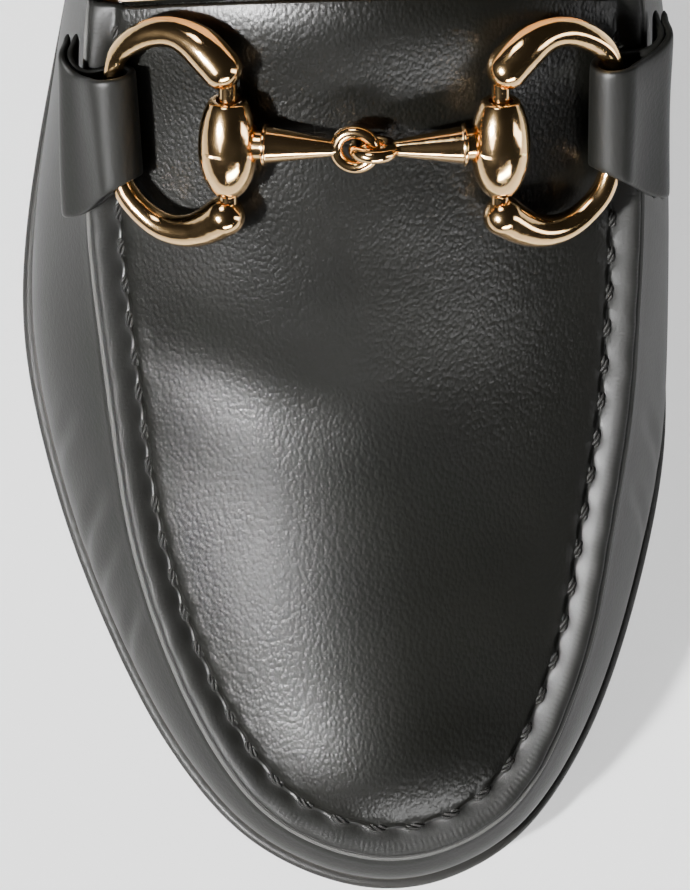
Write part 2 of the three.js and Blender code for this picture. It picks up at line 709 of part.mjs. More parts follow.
// A cheek's middle line and radius
const cheekLine = new THREE.CatmullRomCurve3(
  CHEEK.map((row) => new THREE.Vector3(cheekReach * row.out, cheekLength * row.back, 0)),
);
const cheekRadius = smoothCurve(
  CHEEK.map((_, i) => i / (CHEEK.length - 1)),
  CHEEK.map((row) => bulbRadius * row.radius),
);
const roundEndDegrees = [80, 55, 30];
function makeCheek() {
  const sides = 12;
  const steps = 34;
  const ring = (t, along, shrink) => {
    const tangent = cheekLine.getTangent(t);
    const side = new THREE.Vector3(-tangent.y, tangent.x, 0);
    const radius = cheekRadius(t);
    const centre = cheekLine.getPoint(t).addScaledVector(tangent, along * radius);
    return Array.from({ length: sides }, (_, i) => {
      const angle = (fullTurn * i) / sides;
      const p = centre.clone().addScaledVector(side, Math.cos(angle) * radius * shrink);
      return p.setZ(Math.sin(angle) * radius * shrink);
    });
  };
  const ends = roundEndDegrees.map(THREE.MathUtils.degToRad);
  const rings = [
    ...ends.map((angle) => ring(0, -Math.sin(angle), Math.cos(angle))),
    ...evenly(0, 1, steps).map((t) => ring(t, 0, 1)),
    ...ends.map((angle) => ring(1, Math.sin(angle), Math.cos(angle))).reverse(),
  ];
  const horn = solidOf(barOf(rings.map((loop) => [loop])));
  const [rear, front] = [CHEEK[0], CHEEK[CHEEK.length - 1]].map((row) => cheekLength * row.back);
  const pin = new THREE.CylinderGeometry(pinRadius, pinRadius, rear - front, sides);
  pin.translate(0, (rear + front) / 2, 0);
  return geometryFrom(horn.add(solidOf(pin)));
}

// Half of the mouth: a bored, egg-shaped barrel, a neck, a collar, a tapering arm and an eye. The lateral
// half's eye lies flat.
function makeMouthHalf(flat) {
  const half = barrelLength / 2;
  const bore = pinRadius + bitClearance;
  const belly = evenly(-1, 1, 11).map((t) => {
    const end = t < 0 ? barrelFrontRadius : barrelRearRadius;
    const fall = 1 - (end / barrelRadius) ** 2;
    return new THREE.Vector2(barrelRadius * Math.sqrt(1 - fall * t * t), t * half);
  });
  const barrelProfile = [new THREE.Vector2(0, -half), ...belly, new THREE.Vector2(0, half)];
  const barrel = new THREE.LatheGeometry(barrelProfile, 20).translate(armReach, -barrelForward, 0);
  const armStart = eyeSpacing / 2 + eyeHole + eyeWire;
  const armEnd = armReach - barrelRadius / 2;
  const collar = armReach - barrelRadius - neckLength;
  const armProfile = [
    [0, armStart],
    [armThin, armStart],
    [armThick, collar - collarWidth],
    [collarRadius, collar - collarWidth],
    [collarRadius, collar],
    [neckRadius, collar],
    [neckRadius, armEnd],
    [0, armEnd],
  ].map(([radius, x]) => new THREE.Vector2(radius, x));
  const arm = new THREE.LatheGeometry(armProfile, 16).rotateZ(-Math.PI / 2);
  const eye = new THREE.TorusGeometry(eyeHole + eyeWire, eyeWire, 10, 22);
  if (!flat) eye.rotateX(Math.PI / 2);
  eye.translate(eyeSpacing / 2, 0, 0);
  const through = new THREE.CylinderGeometry(bore, bore, barrelLength + bulbRadius, 16);
  through.translate(armReach, -barrelForward, 0);
  return geometryFrom(solidOf(arm).add(solidOf(barrel)).add(solidOf(eye)).subtract(solidOf(through)));
}

// A lateral piece is the medial one mirrored, with its faces turned out again.
function onSide(geometry, side) {
  if (side > 0) return geometry;
  const mirrored = geometry.clone().scale(-1, 1, 1);
  const index = mirrored.index.array;
  for (let i = 0; i < index.length; i += 3) [index[i + 1], index[i + 2]] = [index[i + 2], index[i + 1]];
  mirrored.computeVertexNormals();
  return mirrored;
}

// A tab is a strap folded round the cheek's outer bar. Its two leaves run over the seam and down the wall.
// The course's places are shares of tabReach, from the bar outward.
const TAB_COURSE = [
  { out: 0.42, flare: 0.5 },
  { out: 0.61, flare: 0.7 },
  { out: 0.8, flare: 0.85 },
  { out: 1, flare: 1 },
];
const tabRide = (inward) => seatGap + (seamHeight + seatGap) * smoothStep(clamp01(1 + inward / tabEase));
const loopDegrees = { from: 62, to: 298 };
function makeTab(side, cheek) {
  const bars = evenly(0, 1, 260).map((t) => {
    const p = cheekLine.getPoint(t);
    return cheek.localToWorld(p.setX(side * p.x));
  });
  const middle = bit.position.y + (side < 0 ? tabBackLateral : tabBackMedial);
  const [rear, front] = [middle + tabWidth / 2, middle - tabWidth / 2];
  const outer = bars.slice(bars.length / 5, -bars.length / 5);
  const barAt = (y) => outer[outer.findIndex((p) => p.y < y)];
  const [rearBar, frontBar] = [barAt(rear), barAt(front)];
  const forward = frontBar.clone().sub(rearBar).normalize();

  // The strap is straight, so its loop is as much wider than the bar as the bar bows.
  const bows = outer.filter((p) => p.y < rear && p.y > front);
  const bow = bows
    .map((p) => p.clone().sub(rearBar).projectOnPlane(forward))
    .reduce((most, p) => (p.length() > most.length() ? p : most));
  const barShare = CHEEK.findIndex((row) => row.out === 1) / (CHEEK.length - 1);
  const hole = cheekRadius(barShare) + bow.length() / 2 + tabSlack + bitClearance;
  const loopAt = (w) => rearBar.clone().lerp(frontBar, w).addScaledVector(bow, 1 / 2);
  const barMiddle = loopAt(1 / 2);
  const edge = side < 0 ? lateralEdge : medialEdge;
  const barInward = side * (edge(soleLength / 2 - barMiddle.y).x - barMiddle.x);

  return barOf(
    evenly(0, 1, 9).map((w) => {
      const bar = loopAt(w);
      const course = TAB_COURSE.map((row) => {
        const u = soleLength / 2 - bar.y + mix(-tabFlareRear, tabFlareFront, w) * row.flare;
        const turn = turnOf(u / soleLength);
        const inward = barInward - tabReach * row.out;
        return overFace(side < 0 ? turn : fullTurn - turn, inward, tabRide(inward) + tabLeather);
      });
      const outward = course[0].at.clone().sub(bar).normalize();
      const up = forward.clone().cross(outward).multiplyScalar(side).normalize();
      const round = (radius, degrees) => {
        const angle = THREE.MathUtils.degToRad(degrees);
        const p = bar.clone().addScaledVector(outward, Math.cos(angle) * radius);
        return p.addScaledVector(up, Math.sin(angle) * radius);
      };
      const sweep = evenly(loopDegrees.from, loopDegrees.to, 11);
      const loop = sweep.map((degrees) => round(hole + tabLeather, degrees));
      const under = course.map((row) => row.at.clone().addScaledVector(row.normal, -tabLeather));
      const top = course.map((row) => row.at.clone().addScaledVector(row.normal, tabLeather)).reverse();
      const holeLoop = evenly(0, 360, 17).slice(0, -1).map((degrees) => round(hole, degrees));
      return [[...loop, ...under, ...top], holeLoop];
    }),
  );
}

const cheekGeometry = makeCheek();
for (const [side, word] of [
  [-1, "lateral"],
  [1, "medial"],
]) {
  const half = new THREE.Group();
  half.rotation.y = side * armDroop;
  bit.add(half);
  addPiece(half, `bit_mouth_${word}`, onSide(makeMouthHalf(side < 0), side), gilt);
  const cheek = new THREE.Group();
  cheek.position.x = side * armReach;
  cheek.rotation.y = side * cheekFold;
  half.add(cheek);
  addPiece(cheek, `bit_cheek_${word}`, onSide(cheekGeometry, side), gilt);
  shoe.updateMatrixWorld(true);
  addPiece(shoe, `bit_tab_${word}`, makeTab(side, cheek), calf);
}

// The origin lies on the ground, under the middle of the shoe's box.
const box = new THREE.Box3().setFromObject(shoe, true);
shoe.position.set(-(box.min.x + box.max.x) / 2, -(box.min.y + box.max.y) / 2, -box.min.z);
shoe.updateMatrixWorld(true);

export default shoe;
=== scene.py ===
import math

import bpy
import numpy as np
from mathutils import Matrix, Vector


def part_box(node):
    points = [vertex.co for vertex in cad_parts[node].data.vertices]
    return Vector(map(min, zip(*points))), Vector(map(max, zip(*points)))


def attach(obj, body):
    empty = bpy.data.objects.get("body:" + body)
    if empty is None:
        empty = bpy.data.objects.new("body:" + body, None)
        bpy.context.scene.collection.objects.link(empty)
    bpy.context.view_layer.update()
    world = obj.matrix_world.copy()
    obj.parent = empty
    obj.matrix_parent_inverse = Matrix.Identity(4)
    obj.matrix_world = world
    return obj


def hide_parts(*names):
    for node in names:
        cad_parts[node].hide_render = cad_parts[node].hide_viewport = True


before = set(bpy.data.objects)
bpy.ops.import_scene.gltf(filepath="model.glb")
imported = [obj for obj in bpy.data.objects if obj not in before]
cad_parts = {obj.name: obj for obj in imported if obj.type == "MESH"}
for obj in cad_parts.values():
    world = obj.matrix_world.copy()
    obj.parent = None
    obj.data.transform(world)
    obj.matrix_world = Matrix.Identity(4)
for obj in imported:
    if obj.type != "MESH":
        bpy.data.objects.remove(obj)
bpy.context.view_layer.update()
scene = bpy.context.scene

# The last
# The shoe is built on a last, so every piece takes its shape from the same outline of the sole and the same
# profiles of the wall. Lengths are millimetres: u from the heel's back to the toe, x towards the big toe.
sole_length = 262.0
sole_width = 89.7
sole_thickness = 4.2
sole_edge_round = 0.9
toe_spring = 8.0
heel_rise = 13.0
heel_length = 61.5
tread_front = 0.73
tread_back = 0.6
throat_height = 52.0
seat_gap = 0.3
full_turn = 2 * math.pi

SOLE_OUTLINE = {
    "along": [0, 0.03, 0.07, 0.13, 0.2, 0.28, 0.36, 0.44, 0.52, 0.58,
              0.64, 0.7, 0.76, 0.82, 0.87, 0.91, 0.945, 0.975, 0.992, 1],
    "lateral": [0, 0.195, 0.281, 0.338, 0.348, 0.352, 0.368, 0.403, 0.442, 0.475,
                0.503, 0.511, 0.483, 0.431, 0.371, 0.312, 0.243, 0.155, 0.062, -0.056],
    "medial": [0, 0.193, 0.277, 0.332, 0.33, 0.304, 0.296, 0.333, 0.396, 0.436,
               0.465, 0.483, 0.487, 0.46, 0.421, 0.378, 0.323, 0.249, 0.167, 0.056],
}


def smooth_curve(at, value):
    """A natural cubic curve through the values."""
    at = np.array(at, float)
    value = np.array(value, float)
    count = len(at)
    bend = np.zeros(count)
    part = np.zeros(count)
    for i in range(1, count - 1):
        span = at[i + 1] - at[i - 1]
        share = (at[i] - at[i - 1]) / span
        before = (value[i] - value[i - 1]) / (at[i] - at[i - 1])
        after = (value[i + 1] - value[i]) / (at[i + 1] - at[i])
        pivot = share * bend[i - 1] + 2
        bend[i] = (share - 1) / pivot
        part[i] = (6 * (after - before) / span - share * part[i - 1]) / pivot
    for i in range(count - 2, -1, -1):
        bend[i] = bend[i] * bend[i + 1] + part[i]

    def curve(place):
        low = np.clip(np.searchsorted(at, place, side="left") - 1, 0, count - 2)
        span = at[low + 1] - at[low]
        a = (at[low + 1] - place) / span
        b = (place - at[low]) / span
        bow = ((a**3 - a) * bend[low] + (b**3 - b) * bend[low + 1]) * span * span / 6
        return a * value[low] + b * value[low + 1] + bow

    return curve


def smooth_step(t):
    t = np.clip(t, 0, 1)
    return t * t * (3 - 2 * t)


def mix(a, b, t):
    return a + (b - a) * t


def turn_of(along):
    return np.arccos(1 - 2 * np.asarray(along, float))


def along_of(turn):
    return (1 - np.cos(turn)) / 2


def round_the_shoe(table, lateral, medial, lateral_sign=1):
    """A table's lateral and medial columns as one smooth curve round the shoe."""
    turns = list(turn_of(table["along"]))
    ring = [(turn, lateral_sign * value) for turn, value in zip(turns, table[lateral])]
    back = [(full_turn - turn, value) for turn, value in zip(turns, table[medial])]
    ring += back[1:-1][::-1]
    knots = [(turn + lap * full_turn, value) for lap in (-1, 0, 1) for turn, value in ring]
    return smooth_curve([k[0] for k in knots], [k[1] for k in knots])


outline_share = round_the_shoe(SOLE_OUTLINE, "lateral", "medial", -1)


def inset_from(turn, inset):
    """A place this far inside the sole's outline, as x and u."""
    step = 1e-3
    x = sole_width * outline_share(turn)
    u = sole_length * along_of(turn)
    dx = sole_width * (outline_share(turn + step) - outline_share(turn - step)) / (2 * step)
    du = sole_length * np.sin(turn) / 2
    size = np.hypot(dx, du)
    return x + du / size * inset, u - dx / size * inset


def on_last(x, u, z):
    """Places on the last as points of the model."""
    return np.stack(np.broadcast_arrays(x, sole_length / 2 - u, z), axis=-1)


def u_of(points):
    return sole_length / 2 - points[..., 1]


outline_ring = inset_from(np.arange(72) * full_turn / 72, 0.0)
outsole_low, outsole_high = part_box("outsole")
SHIFT = np.array([
    1000 * outsole_low.x - outline_ring[0].min(),
    1000 * outsole_high.y - sole_length / 2,
    0.0,
])

# Camera, light and floor
# The photograph looks straight down on the shoe through a long lens, with the toe at the bottom.
camera_height = 1300.0
camera_x = -0.97
camera_u = 200.5
lens_mm = 376.1


def in_metres(points):
    return (np.asarray(points, float) + SHIFT) / 1000


camera = bpy.data.objects.new("camera", bpy.data.cameras.new("camera"))
camera.data.lens = lens_mm
camera.data.clip_start = 0.05
camera.data.clip_end = 20
camera.location = in_metres(on_last(camera_x, camera_u, camera_height))
scene.collection.objects.link(camera)
scene.camera = camera

# Each softbox: where it hangs in metres from the shoe's ball, its size and its watts.
SOFTBOXES = [
    {"name": "over_heel", "at": (-0.3, 0.62, 0.85), "size": (0.3, 0.3), "watts": 3},
    {"name": "over_toe", "at": (-0.6, -0.5, 0.9), "size": (0.35, 0.4), "watts": 4},
    {"name": "right", "at": (1.1, -0.25, 0.3), "size": (0.25, 0.7), "watts": 4},
    {"name": "toe", "at": (0.3, -1.1, 0.4), "size": (0.8, 0.2), "watts": 20},
]
# A spotlight with a narrow snoot makes the glow on the toe box.
spot_from = (-0.7, -0.36, 0.9)
spot_radius = 0.19
spot_degrees = 6.2
spot_watts = 8600


def hang(name, light, aim, offset):
    holder = bpy.data.objects.new(name, light)
    holder.location = Vector(aim) + Vector(offset)
    holder.rotation_euler = (-Vector(offset)).to_track_quat("-Z", "Y").to_euler()
    scene.collection.objects.link(holder)


for box in SOFTBOXES:
    light = bpy.data.lights.new(box["name"], "AREA")
    light.shape = "RECTANGLE"
    light.size, light.size_y = box["size"]
    light.energy = box["watts"]
    hang(box["name"], light, (0.0, -0.05, 0.03), box["at"])
spot = bpy.data.lights.new("snoot", "SPOT")
spot.energy = spot_watts
spot.shadow_soft_size = spot_radius
spot.spot_size = math.radians(spot_degrees)
spot.spot_blend = 1.0
hang("snoot", spot, in_metres(on_last(-13.0, 209.0, 34.0)), spot_from)

world = bpy.data.worlds.new("studio")
world.use_nodes = True
world.node_tree.nodes["Background"].inputs["Color"].default_value = (0.8, 0.8, 0.8, 1)
world.node_tree.nodes["Background"].inputs["Strength"].default_value = 0.02
scene.world = world


class Shade:
    """A material's socket that can stand in a sum."""

    def __init__(self, tree, socket=None):
        self.tree = tree
        self.socket = socket

    def node(self, kind, settings, inputs, output=0):
        made = self.tree.nodes.new(kind)
        for name, value in settings.items():
            if name == "stops":
                while len(made.color_ramp.elements) < len(value):
                    made.color_ramp.elements.new(1)
                for stop, (place, grey) in zip(made.color_ramp.elements, value):
                    stop.position = place
                    stop.color = (grey, grey, grey, 1)
            else:
                setattr(made, name, value)
        for name, value in inputs.items():
            if isinstance(value, Shade):
                self.tree.links.new(value.socket, made.inputs[name])
            else:
                made.inputs[name].default_value = value
        return Shade(self.tree, made.outputs[output])

    def math(self, operation, *values):
        return self.node("ShaderNodeMath", {"operation": operation}, dict(enumerate(values)))

    def __add__(self, other):
        return self.math("ADD", self, other)

    def __sub__(self, other):
        return self.math("SUBTRACT", self, other)

    def __rsub__(self, other):
        return self.math("SUBTRACT", other, self)

    def __mul__(self, other):
        return self.math("MULTIPLY", self, other)

    __radd__ = __add__
    __rmul__ = __mul__

    def blend(self, colour_a, colour_b):
        """The first colour where this is 0, and the second where it is 1."""
        settings = {"data_type": "RGBA"}
        return self.node("ShaderNodeMix", settings, {0: self, 6: colour_a, 7: colour_b}, 2)

    def vector(self, operation, inputs):
        return self.node("ShaderNodeVectorMath", {"operation": operation}, inputs)

    def noise(self, place, scale, detail=2.0):
        return self.node("ShaderNodeTexNoise", {}, {"Vector": place, "Scale": scale, "Detail": detail})

    def bump(self, depth):
        """This height as a bump, this many millimetres deep."""
        return self.node("ShaderNodeBump", {}, {"Height": self, "Distance": depth / 1000})


def new_finish(name):
    """A material, the shader it ends in, and the place on the piece in millimetres."""
    material = bpy.data.materials.new(name)
    material.use_nodes = True
    tree = material.node_tree
    coordinates = Shade(tree).node("ShaderNodeTexCoord", {}, {}, "Object")
    return material, tree.nodes["Principled BSDF"], coordinates.vector("SCALE", {0: coordinates, 3: 1000.0})


def feed(shader, **inputs):
    """Sets or links the shader's sockets. An underscore stands for a space."""
    for name, value in inputs.items():
        socket = shader.inputs[name.replace("_", " ")]
        if isinstance(value, Shade):
            value.tree.links.new(value.socket, socket)
        else:
            socket.default_value = value


paper, paper_shader, place = new_finish("white_sweep")
shade_of_paper = place.noise(place, 0.01)
feed(
    paper_shader,
    Base_Color=shade_of_paper.blend((0.16, 0.16, 0.16, 1), (0.18, 0.18, 0.18, 1)),
    Roughness=0.9,
    Emission_Color=(1, 1, 1, 1),
    Emission_Strength=0.85,
)
floor_half = 4.0
floor_mesh = bpy.data.meshes.new("floor")
floor_corners = [(-1, -1), (1, -1), (1, 1), (-1, 1)]
floor_mesh.from_pydata([(floor_half * x, floor_half * y, 0) for x, y in floor_corners], [], [(0, 1, 2, 3)])
floor_mesh.materials.append(paper)
floor = bpy.data.objects.new("floor", floor_mesh)
scene.collection.objects.link(floor)

# Outsole
# One slab of bend leather, cut to the last's outline, with its edge set round, stained black and burnished.
# It is flat under the ball and springs up at the toe and over the heel.


def sole_bottom(u):
    along = u / sole_length
    seat_front = heel_length / sole_length
    spring = toe_spring * (np.maximum(along - tread_front, 0) / (1 - tread_front)) ** 2
    arch = heel_rise * smooth_step((tread_back - along) / (tread_back - seat_front))
    return np.where(along > tread_front, spring, arch)


def sole_top(u):
    return sole_bottom(u) + sole_thickness


def cells(numbers, closed=False):
    """The four corners of each cell of a grid of point numbers."""
    if closed:
        numbers = np.concatenate([numbers, numbers[:, :1]], axis=1)
    corners = [numbers[:-1, :-1], numbers[:-1, 1:], numbers[1:, 1:], numbers[1:, :-1]]
    return np.stack(corners, axis=-1).reshape(-1, 4)


def add_piece(name, points, faces, finishes, nodes=(), sharp=None, which=None, marks=None):
    """A mesh in the shoe's frame. It rides on the shoe and stands for the nodes it is named with."""
    mesh = bpy.data.meshes.new(name)
    mesh.from_pydata(in_metres(points).tolist(), [], [list(map(int, face)) for face in faces])
    for finish in finishes:
        mesh.materials.append(finish)
    if which is not None:
        mesh.polygons.foreach_set("material_index", np.asarray(which, np.int32))
    mesh.polygons.foreach_set("use_smooth", np.ones(len(mesh.polygons), bool))
    if sharp is not None:
        mesh.set_sharp_from_angle(angle=math.radians(sharp))
    for mark, values in (marks or {}).items():
        layer = mesh.attributes.new(mark, "FLOAT", "POINT")
        layer.data.foreach_set("value", np.asarray(values, np.float32))
    mesh.validate()
    mesh.update()
    made = bpy.data.objects.new(name, mesh)
    scene.collection.objects.link(made)
    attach(made, "root")
    if nodes:
        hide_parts(*nodes)
    return made


def slab(rings):
    """A slab between closed rings, with faces that run straight across from side to side."""
    rows, count = rings.shape[:2]
    numbers = np.arange(rows * count).reshape(rows, count)
    faces = cells(numbers, closed=True)[:, ::-1].tolist()
    for row, over in ((0, False), (rows - 1, True)):
        for i in range(count // 2):
            quad = [row * count + k for k in (i, i + 1, count - i - 1, (count - i) % count)]
            quad = list(dict.fromkeys(quad))
            faces.append(quad[::-1] if over else quad)
    return rings.reshape(-1, 3), faces


ring_turns = np.arange(360) * full_turn / 360


def ring_at(inset, height):
    x, u = inset_from(ring_turns, inset)
    return on_last(x, u, height(u))


def pebbles(place, stretch, drift_scale, drift, scale, smoothness):
    """Leather's pebbled grain, high in the middle of each pebble."""
    stretched = place.node("ShaderNodeMapping", {}, {"Vector": place, "Scale": (1, stretch, 1)})
    drifting = place.vector("SCALE", {0: place.noise(stretched, drift_scale, 3), 3: drift})
    moved = place.vector("ADD", {0: stretched, 1: drifting})
    inputs = {"Vector": moved, "Scale": scale, "Smoothness": smoothness}
    return 1 - place.node("ShaderNodeTexVoronoi", {"feature": "SMOOTH_F1"}, inputs)


def leather(name, colour, warm, roughness, grain, depth, coat):
    """Finished leather: pebbled grain, a little colour from below, and a polished coat."""
    material, shader, place = new_finish(name)
    height = pebbles(place, 0.72, 0.9 / grain, 0.5 * grain, 1 / grain, 0.4)
    height = height + 0.35 * place.noise(place, 3 / grain, 3)
    cloud = place.noise(place, 0.05, 3)
    feed(
        shader,
        Base_Color=cloud.blend((*colour, 1), (*warm, 1)),
        Roughness=roughness + 0.12 * (cloud - 0.5),
        Normal=height.bump(depth),
        Coat_Weight=coat,
        Coat_Roughness=0.22,
        Specular_IOR_Level=0.15,
    )
    return material


sole_edge = leather("black_edge", (0.003, 0.003, 0.0026), (0.006, 0.0056, 0.005), 0.5, 0.9, 0.04, 0.02)
sole_black = leather("black_sole", (0.016, 0.015, 0.014), (0.028, 0.025, 0.022), 0.55, 1.4, 0.06, 0.05)

SOLE_EDGE = [
    {"inset": 1.5, "height": 0.0},
    {"inset": 0.75, "height": 0.06},
    {"inset": 0.25, "height": 0.35},
    {"inset": 0.0, "height": 0.95},
    {"inset": 0.0, "height": 3.0},
    {"inset": 0.12, "height": 3.55},
    {"inset": 0.42, "height": 3.98},
    {"inset": 0.85, "height": 4.18},
    {"inset": 1.3, "height": 4.2},
]
sole_rings = np.stack([
    ring_at(row["inset"], lambda u, row=row: sole_bottom(u) + row["height"]) for row in SOLE_EDGE
])
sole_points, sole_faces = slab(sole_rings)
edge_faces = (len(SOLE_EDGE) - 1) * len(ring_turns)
sole_which = [0 if i < edge_faces else 1 for i in range(len(sole_faces))]
add_piece(
    "sole", sole_points, sole_faces, [sole_edge, sole_black], ["outsole"],
    sharp=50, which=sole_which,
)

# Heel
# Two leather lifts and a rubber top lift, nailed and glued up under the heel seat, trimmed to one slope and
# stained. The breast, towards the arch, is cut hollow.
heel_taper = 1.4
leather_lifts = 2
top_lift_thickness = 4.5
breast_hollow = 3.0
lift_edge = 0.35
lift_thickness = (heel_rise - top_lift_thickness) / leather_lifts


def heel_ring(inset, z):
    breast_turn = float(turn_of((heel_length - breast_hollow) / sole_length))
    x, u = inset_from(np.linspace(-breast_turn, breast_turn, 121), inset)
    across = np.linspace(0, 1, 41)[1:-1]
    bow = 4 * across * (1 - across)
    hollow_x = mix(x[-1], x[0], across)
    hollow_u = mix(u[-1], u[0], across) - breast_hollow * bow
    return on_last(np.concatenate([x, hollow_x]), np.concatenate([u, hollow_u]), z)


def heel_inset(z):
    return sole_edge_round + heel_taper * (1 - z / heel_rise)


def add_lift(name, low, high, finish, node):
    steps = [(lift_edge, low), (0.3 * lift_edge, low + 0.3 * lift_edge), (0, low + lift_edge),
             (0, high - lift_edge), (0.3 * lift_edge, high - 0.3 * lift_edge), (lift_edge, high)]
    rings = np.stack([heel_ring(heel_inset(z) + inset, z) for inset, z in steps])
    rows, count = rings.shape[:2]
    numbers = np.arange(rows * count).reshape(rows, count)
    faces = cells(numbers, closed=True)[:, ::-1].tolist()
    faces += [numbers[0].tolist(), numbers[-1][::-1].tolist()]
    add_piece(name, rings.reshape(-1, 3), faces, [finish], [node], sharp=35)


rubber, rubber_shader, place = new_finish("heel_rubber")
rubber_dust = place.noise(place, 2.0, 4)
feed(
    rubber_shader,
    Base_Color=rubber_dust.blend((0.012, 0.012, 0.012, 1), (0.03, 0.03, 0.029, 1)),
    Roughness=0.62 + 0.15 * rubber_dust,
    Normal=rubber_dust.bump(0.05),
)
add_lift("rubber_lift", 0.0, top_lift_thickness - seat_gap, rubber, "top_lift")
for i in range(leather_lifts):
    low = top_lift_thickness + i * lift_thickness
    high = low + lift_thickness - 0.5 * seat_gap
    add_lift(f"leather_lift_{i + 1}", low, high, sole_edge, f"heel_lift_{i + 1}")

# Upper
# The wall is calf lasted over the edge of the last. The apron is set into it by hand along a raised seam, and
# runs on up the instep as the tongue. The inner face is lined with tan leather.
leather_wall = 2.0
throat_along = 0.535
seam_height = 1.6
seam_start_share = 0.35
seam_end_turn = 0.15
groove_at = 4.81
tongue_length = 21.0
tongue_tip_width = 50.0
tongue_tip_round = 0.3
tongue_rise = 0.46
low_swell_height = 0.32
high_swell_depth = 0.3
apron_half = 0.407 * sole_width

TOP_EDGE = {
    "along": [0, 0.03, 0.07, 0.13, 0.2, 0.28, 0.36, 0.44, 0.5, 0.535,
              0.58, 0.64, 0.7, 0.76, 0.82, 0.87, 0.91, 0.945, 0.975, 1],
    "lateral": [0.089, 0.085, 0.083, 0.084, 0.074, 0.052, 0.038, 0.043, 0.05, 0.058,
                0.08, 0.11, 0.131, 0.125, 0.101, 0.083, 0.073, 0.064, 0.058, 0.056],
    "medial": [0.089, 0.085, 0.081, 0.08, 0.063, 0.02, -0.02, -0.03, -0.027, -0.025,
               0.004, 0.032, 0.055, 0.072, 0.072, 0.06, 0.055, 0.048, 0.05, 0.056],
    "height": [0.894, 0.882, 0.85, 0.785, 0.722, 0.7, 0.74, 0.835, 0.94, 1,
               0.905, 0.762, 0.648, 0.545, 0.452, 0.377, 0.318, 0.273, 0.235, 0.195],
}
WALL_SHAPE = {
    "along": [0, 0.13, 0.28, 0.44, 0.53, 0.61, 0.7, 0.82, 0.91, 1],
    "foot_l": [0.033, 0.033, 0.031, 0.031, 0.031, 0.034, 0.036, 0.033, 0.031, 0.029],
    "foot_m": [0.033, 0.031, 0.022, 0.013, 0.013, 0.014, 0.02, 0.027, 0.027, 0.029],
    "low_l": [0.058, 0.049, 0.04, 0.045, 0.047, 0.05, 0.051, 0.045, 0.036, 0.029],
    "low_m": [0.058, 0.045, 0.045, 0.09, 0.1, 0.068, 0.047, 0.038, 0.033, 0.029],
    "high_l": [0.039, 0.025, 0.018, 0.022, 0.034, 0.055, 0.072, 0.051, 0.036, 0.025],
    "high_m": [0.039, 0.022, 0.022, 0.036, 0.05, 0.058, 0.05, 0.036, 0.029, 0.025],
}
APRON_ARCH = {
    "along": [0.535, 0.61, 0.69, 0.76, 0.84, 0.91, 0.955, 1],
    "arch": [0.35, 0.38, 0.35, 0.34, 0.365, 0.45, 0.58, 0.68],
}

# The seam from the wall inward, in millimetres: a thin lip of the wall's leather, the crevice beside it, the
# apron's raised roll, and the stitched groove at the roll's foot.
SEAM_SECTION = {
    "inward": [-2.4, -1.5, -0.7, -0.25, 0.0, 0.22, 0.45, 0.8, 1.25, 1.75, 2.5, 3.1, 3.6, 4.1, 4.81, 6],
    "raise": [0, 0, 0.06, 0.62, 0.9, 0.82, 0.62, 1.28, 1.6, 1.42, 0.72, 0.02, -0.42, -0.25, -0.02, 0],
}
top_inset = round_the_shoe(TOP_EDGE, "lateral", "medial")
top_height = round_the_shoe(TOP_EDGE, "height", "height")
foot_inset = round_the_shoe(WALL_SHAPE, "foot_l", "foot_m")
low_swell = round_the_shoe(WALL_SHAPE, "low_l", "low_m")
high_swell = round_the_shoe(WALL_SHAPE, "high_l", "high_m")
arch_curve = smooth_curve(APRON_ARCH["along"], APRON_ARCH["arch"])
throat_turn = float(turn_of(throat_along))
throat_u = sole_length * throat_along


def wall_at(turn, rise):
    """The wall, from its foot on the sole (rise 0) to the collar or seam (rise 1)."""
    foot = sole_width * foot_inset(turn)
    top = sole_width * top_inset(turn)
    low = foot - sole_width * low_swell(turn)
    high = top - sole_width * high_swell(turn)
    foot_z = sole_top(inset_from(turn, foot)[1]) + seat_gap
    top_z = sole_top(inset_from(turn, top)[1]) + throat_height * top_height(turn)
    tall = top_z - foot_z
    shares = [(1 - rise) ** 3, 3 * rise * (1 - rise) ** 2, 3 * rise * rise * (1 - rise), rise**3]
    inset = foot * shares[0] + low * shares[1] + high * shares[2] + top * shares[3]
    heights = [foot_z, foot_z + low_swell_height * tall, top_z - high_swell_depth * tall, top_z]
    z = sum(height * share for height, share in zip(heights, shares))
    x, u = inset_from(turn, inset)
    return on_last(x, u, z)


def wall_tall(turn):
    return wall_at(turn, 1.0)[..., 2] - wall_at(turn, 0.0)[..., 2]


def top_edge_of(side):
    turns = np.linspace(throat_turn, math.pi, 1200)
    line = wall_at(turns if side < 0 else full_turn - turns, 1.0)
    u = np.maximum.accumulate(u_of(line))
    return lambda at: (np.interp(at, u, line[:, 0]), np.interp(at, u, line[:, 2]))


lateral_edge = top_edge_of(-1)
medial_edge = top_edge_of(1)


def arch_at(u):
    return arch_curve(np.maximum(throat_along, u / sole_length)) / apron_half


def spine_at(u):
    """The apron's and tongue's middle line, as x and z."""
    place = np.maximum(u, throat_u)
    left_x, left_z = lateral_edge(place)
    right_x, right_z = medial_edge(place)
    half = (right_x - left_x) / 2
    rise = tongue_rise * np.maximum(0, throat_u - u)
    return (left_x + right_x) / 2, (left_z + right_z) / 2 + arch_at(place) * half * half + rise


def apron_z(x, u):
    spine_x, spine_z = spine_at(u)
    return spine_z - arch_at(u) * (x - spine_x) ** 2


def face_at(turn, inward):
    """The upper's outer face, this far inward from the wall's top edge. Below 0 it runs down the wall."""
    turn, inward = np.broadcast_arrays(turn, inward)
    down = wall_at(turn, 1 + np.minimum(inward, 0) / wall_tall(turn))
    x, u = inset_from(turn, sole_width * top_inset(turn) + np.maximum(inward, 0))
    over = on_last(x, u, apron_z(x, u))
    return np.where((inward < 0)[..., None], down, over)


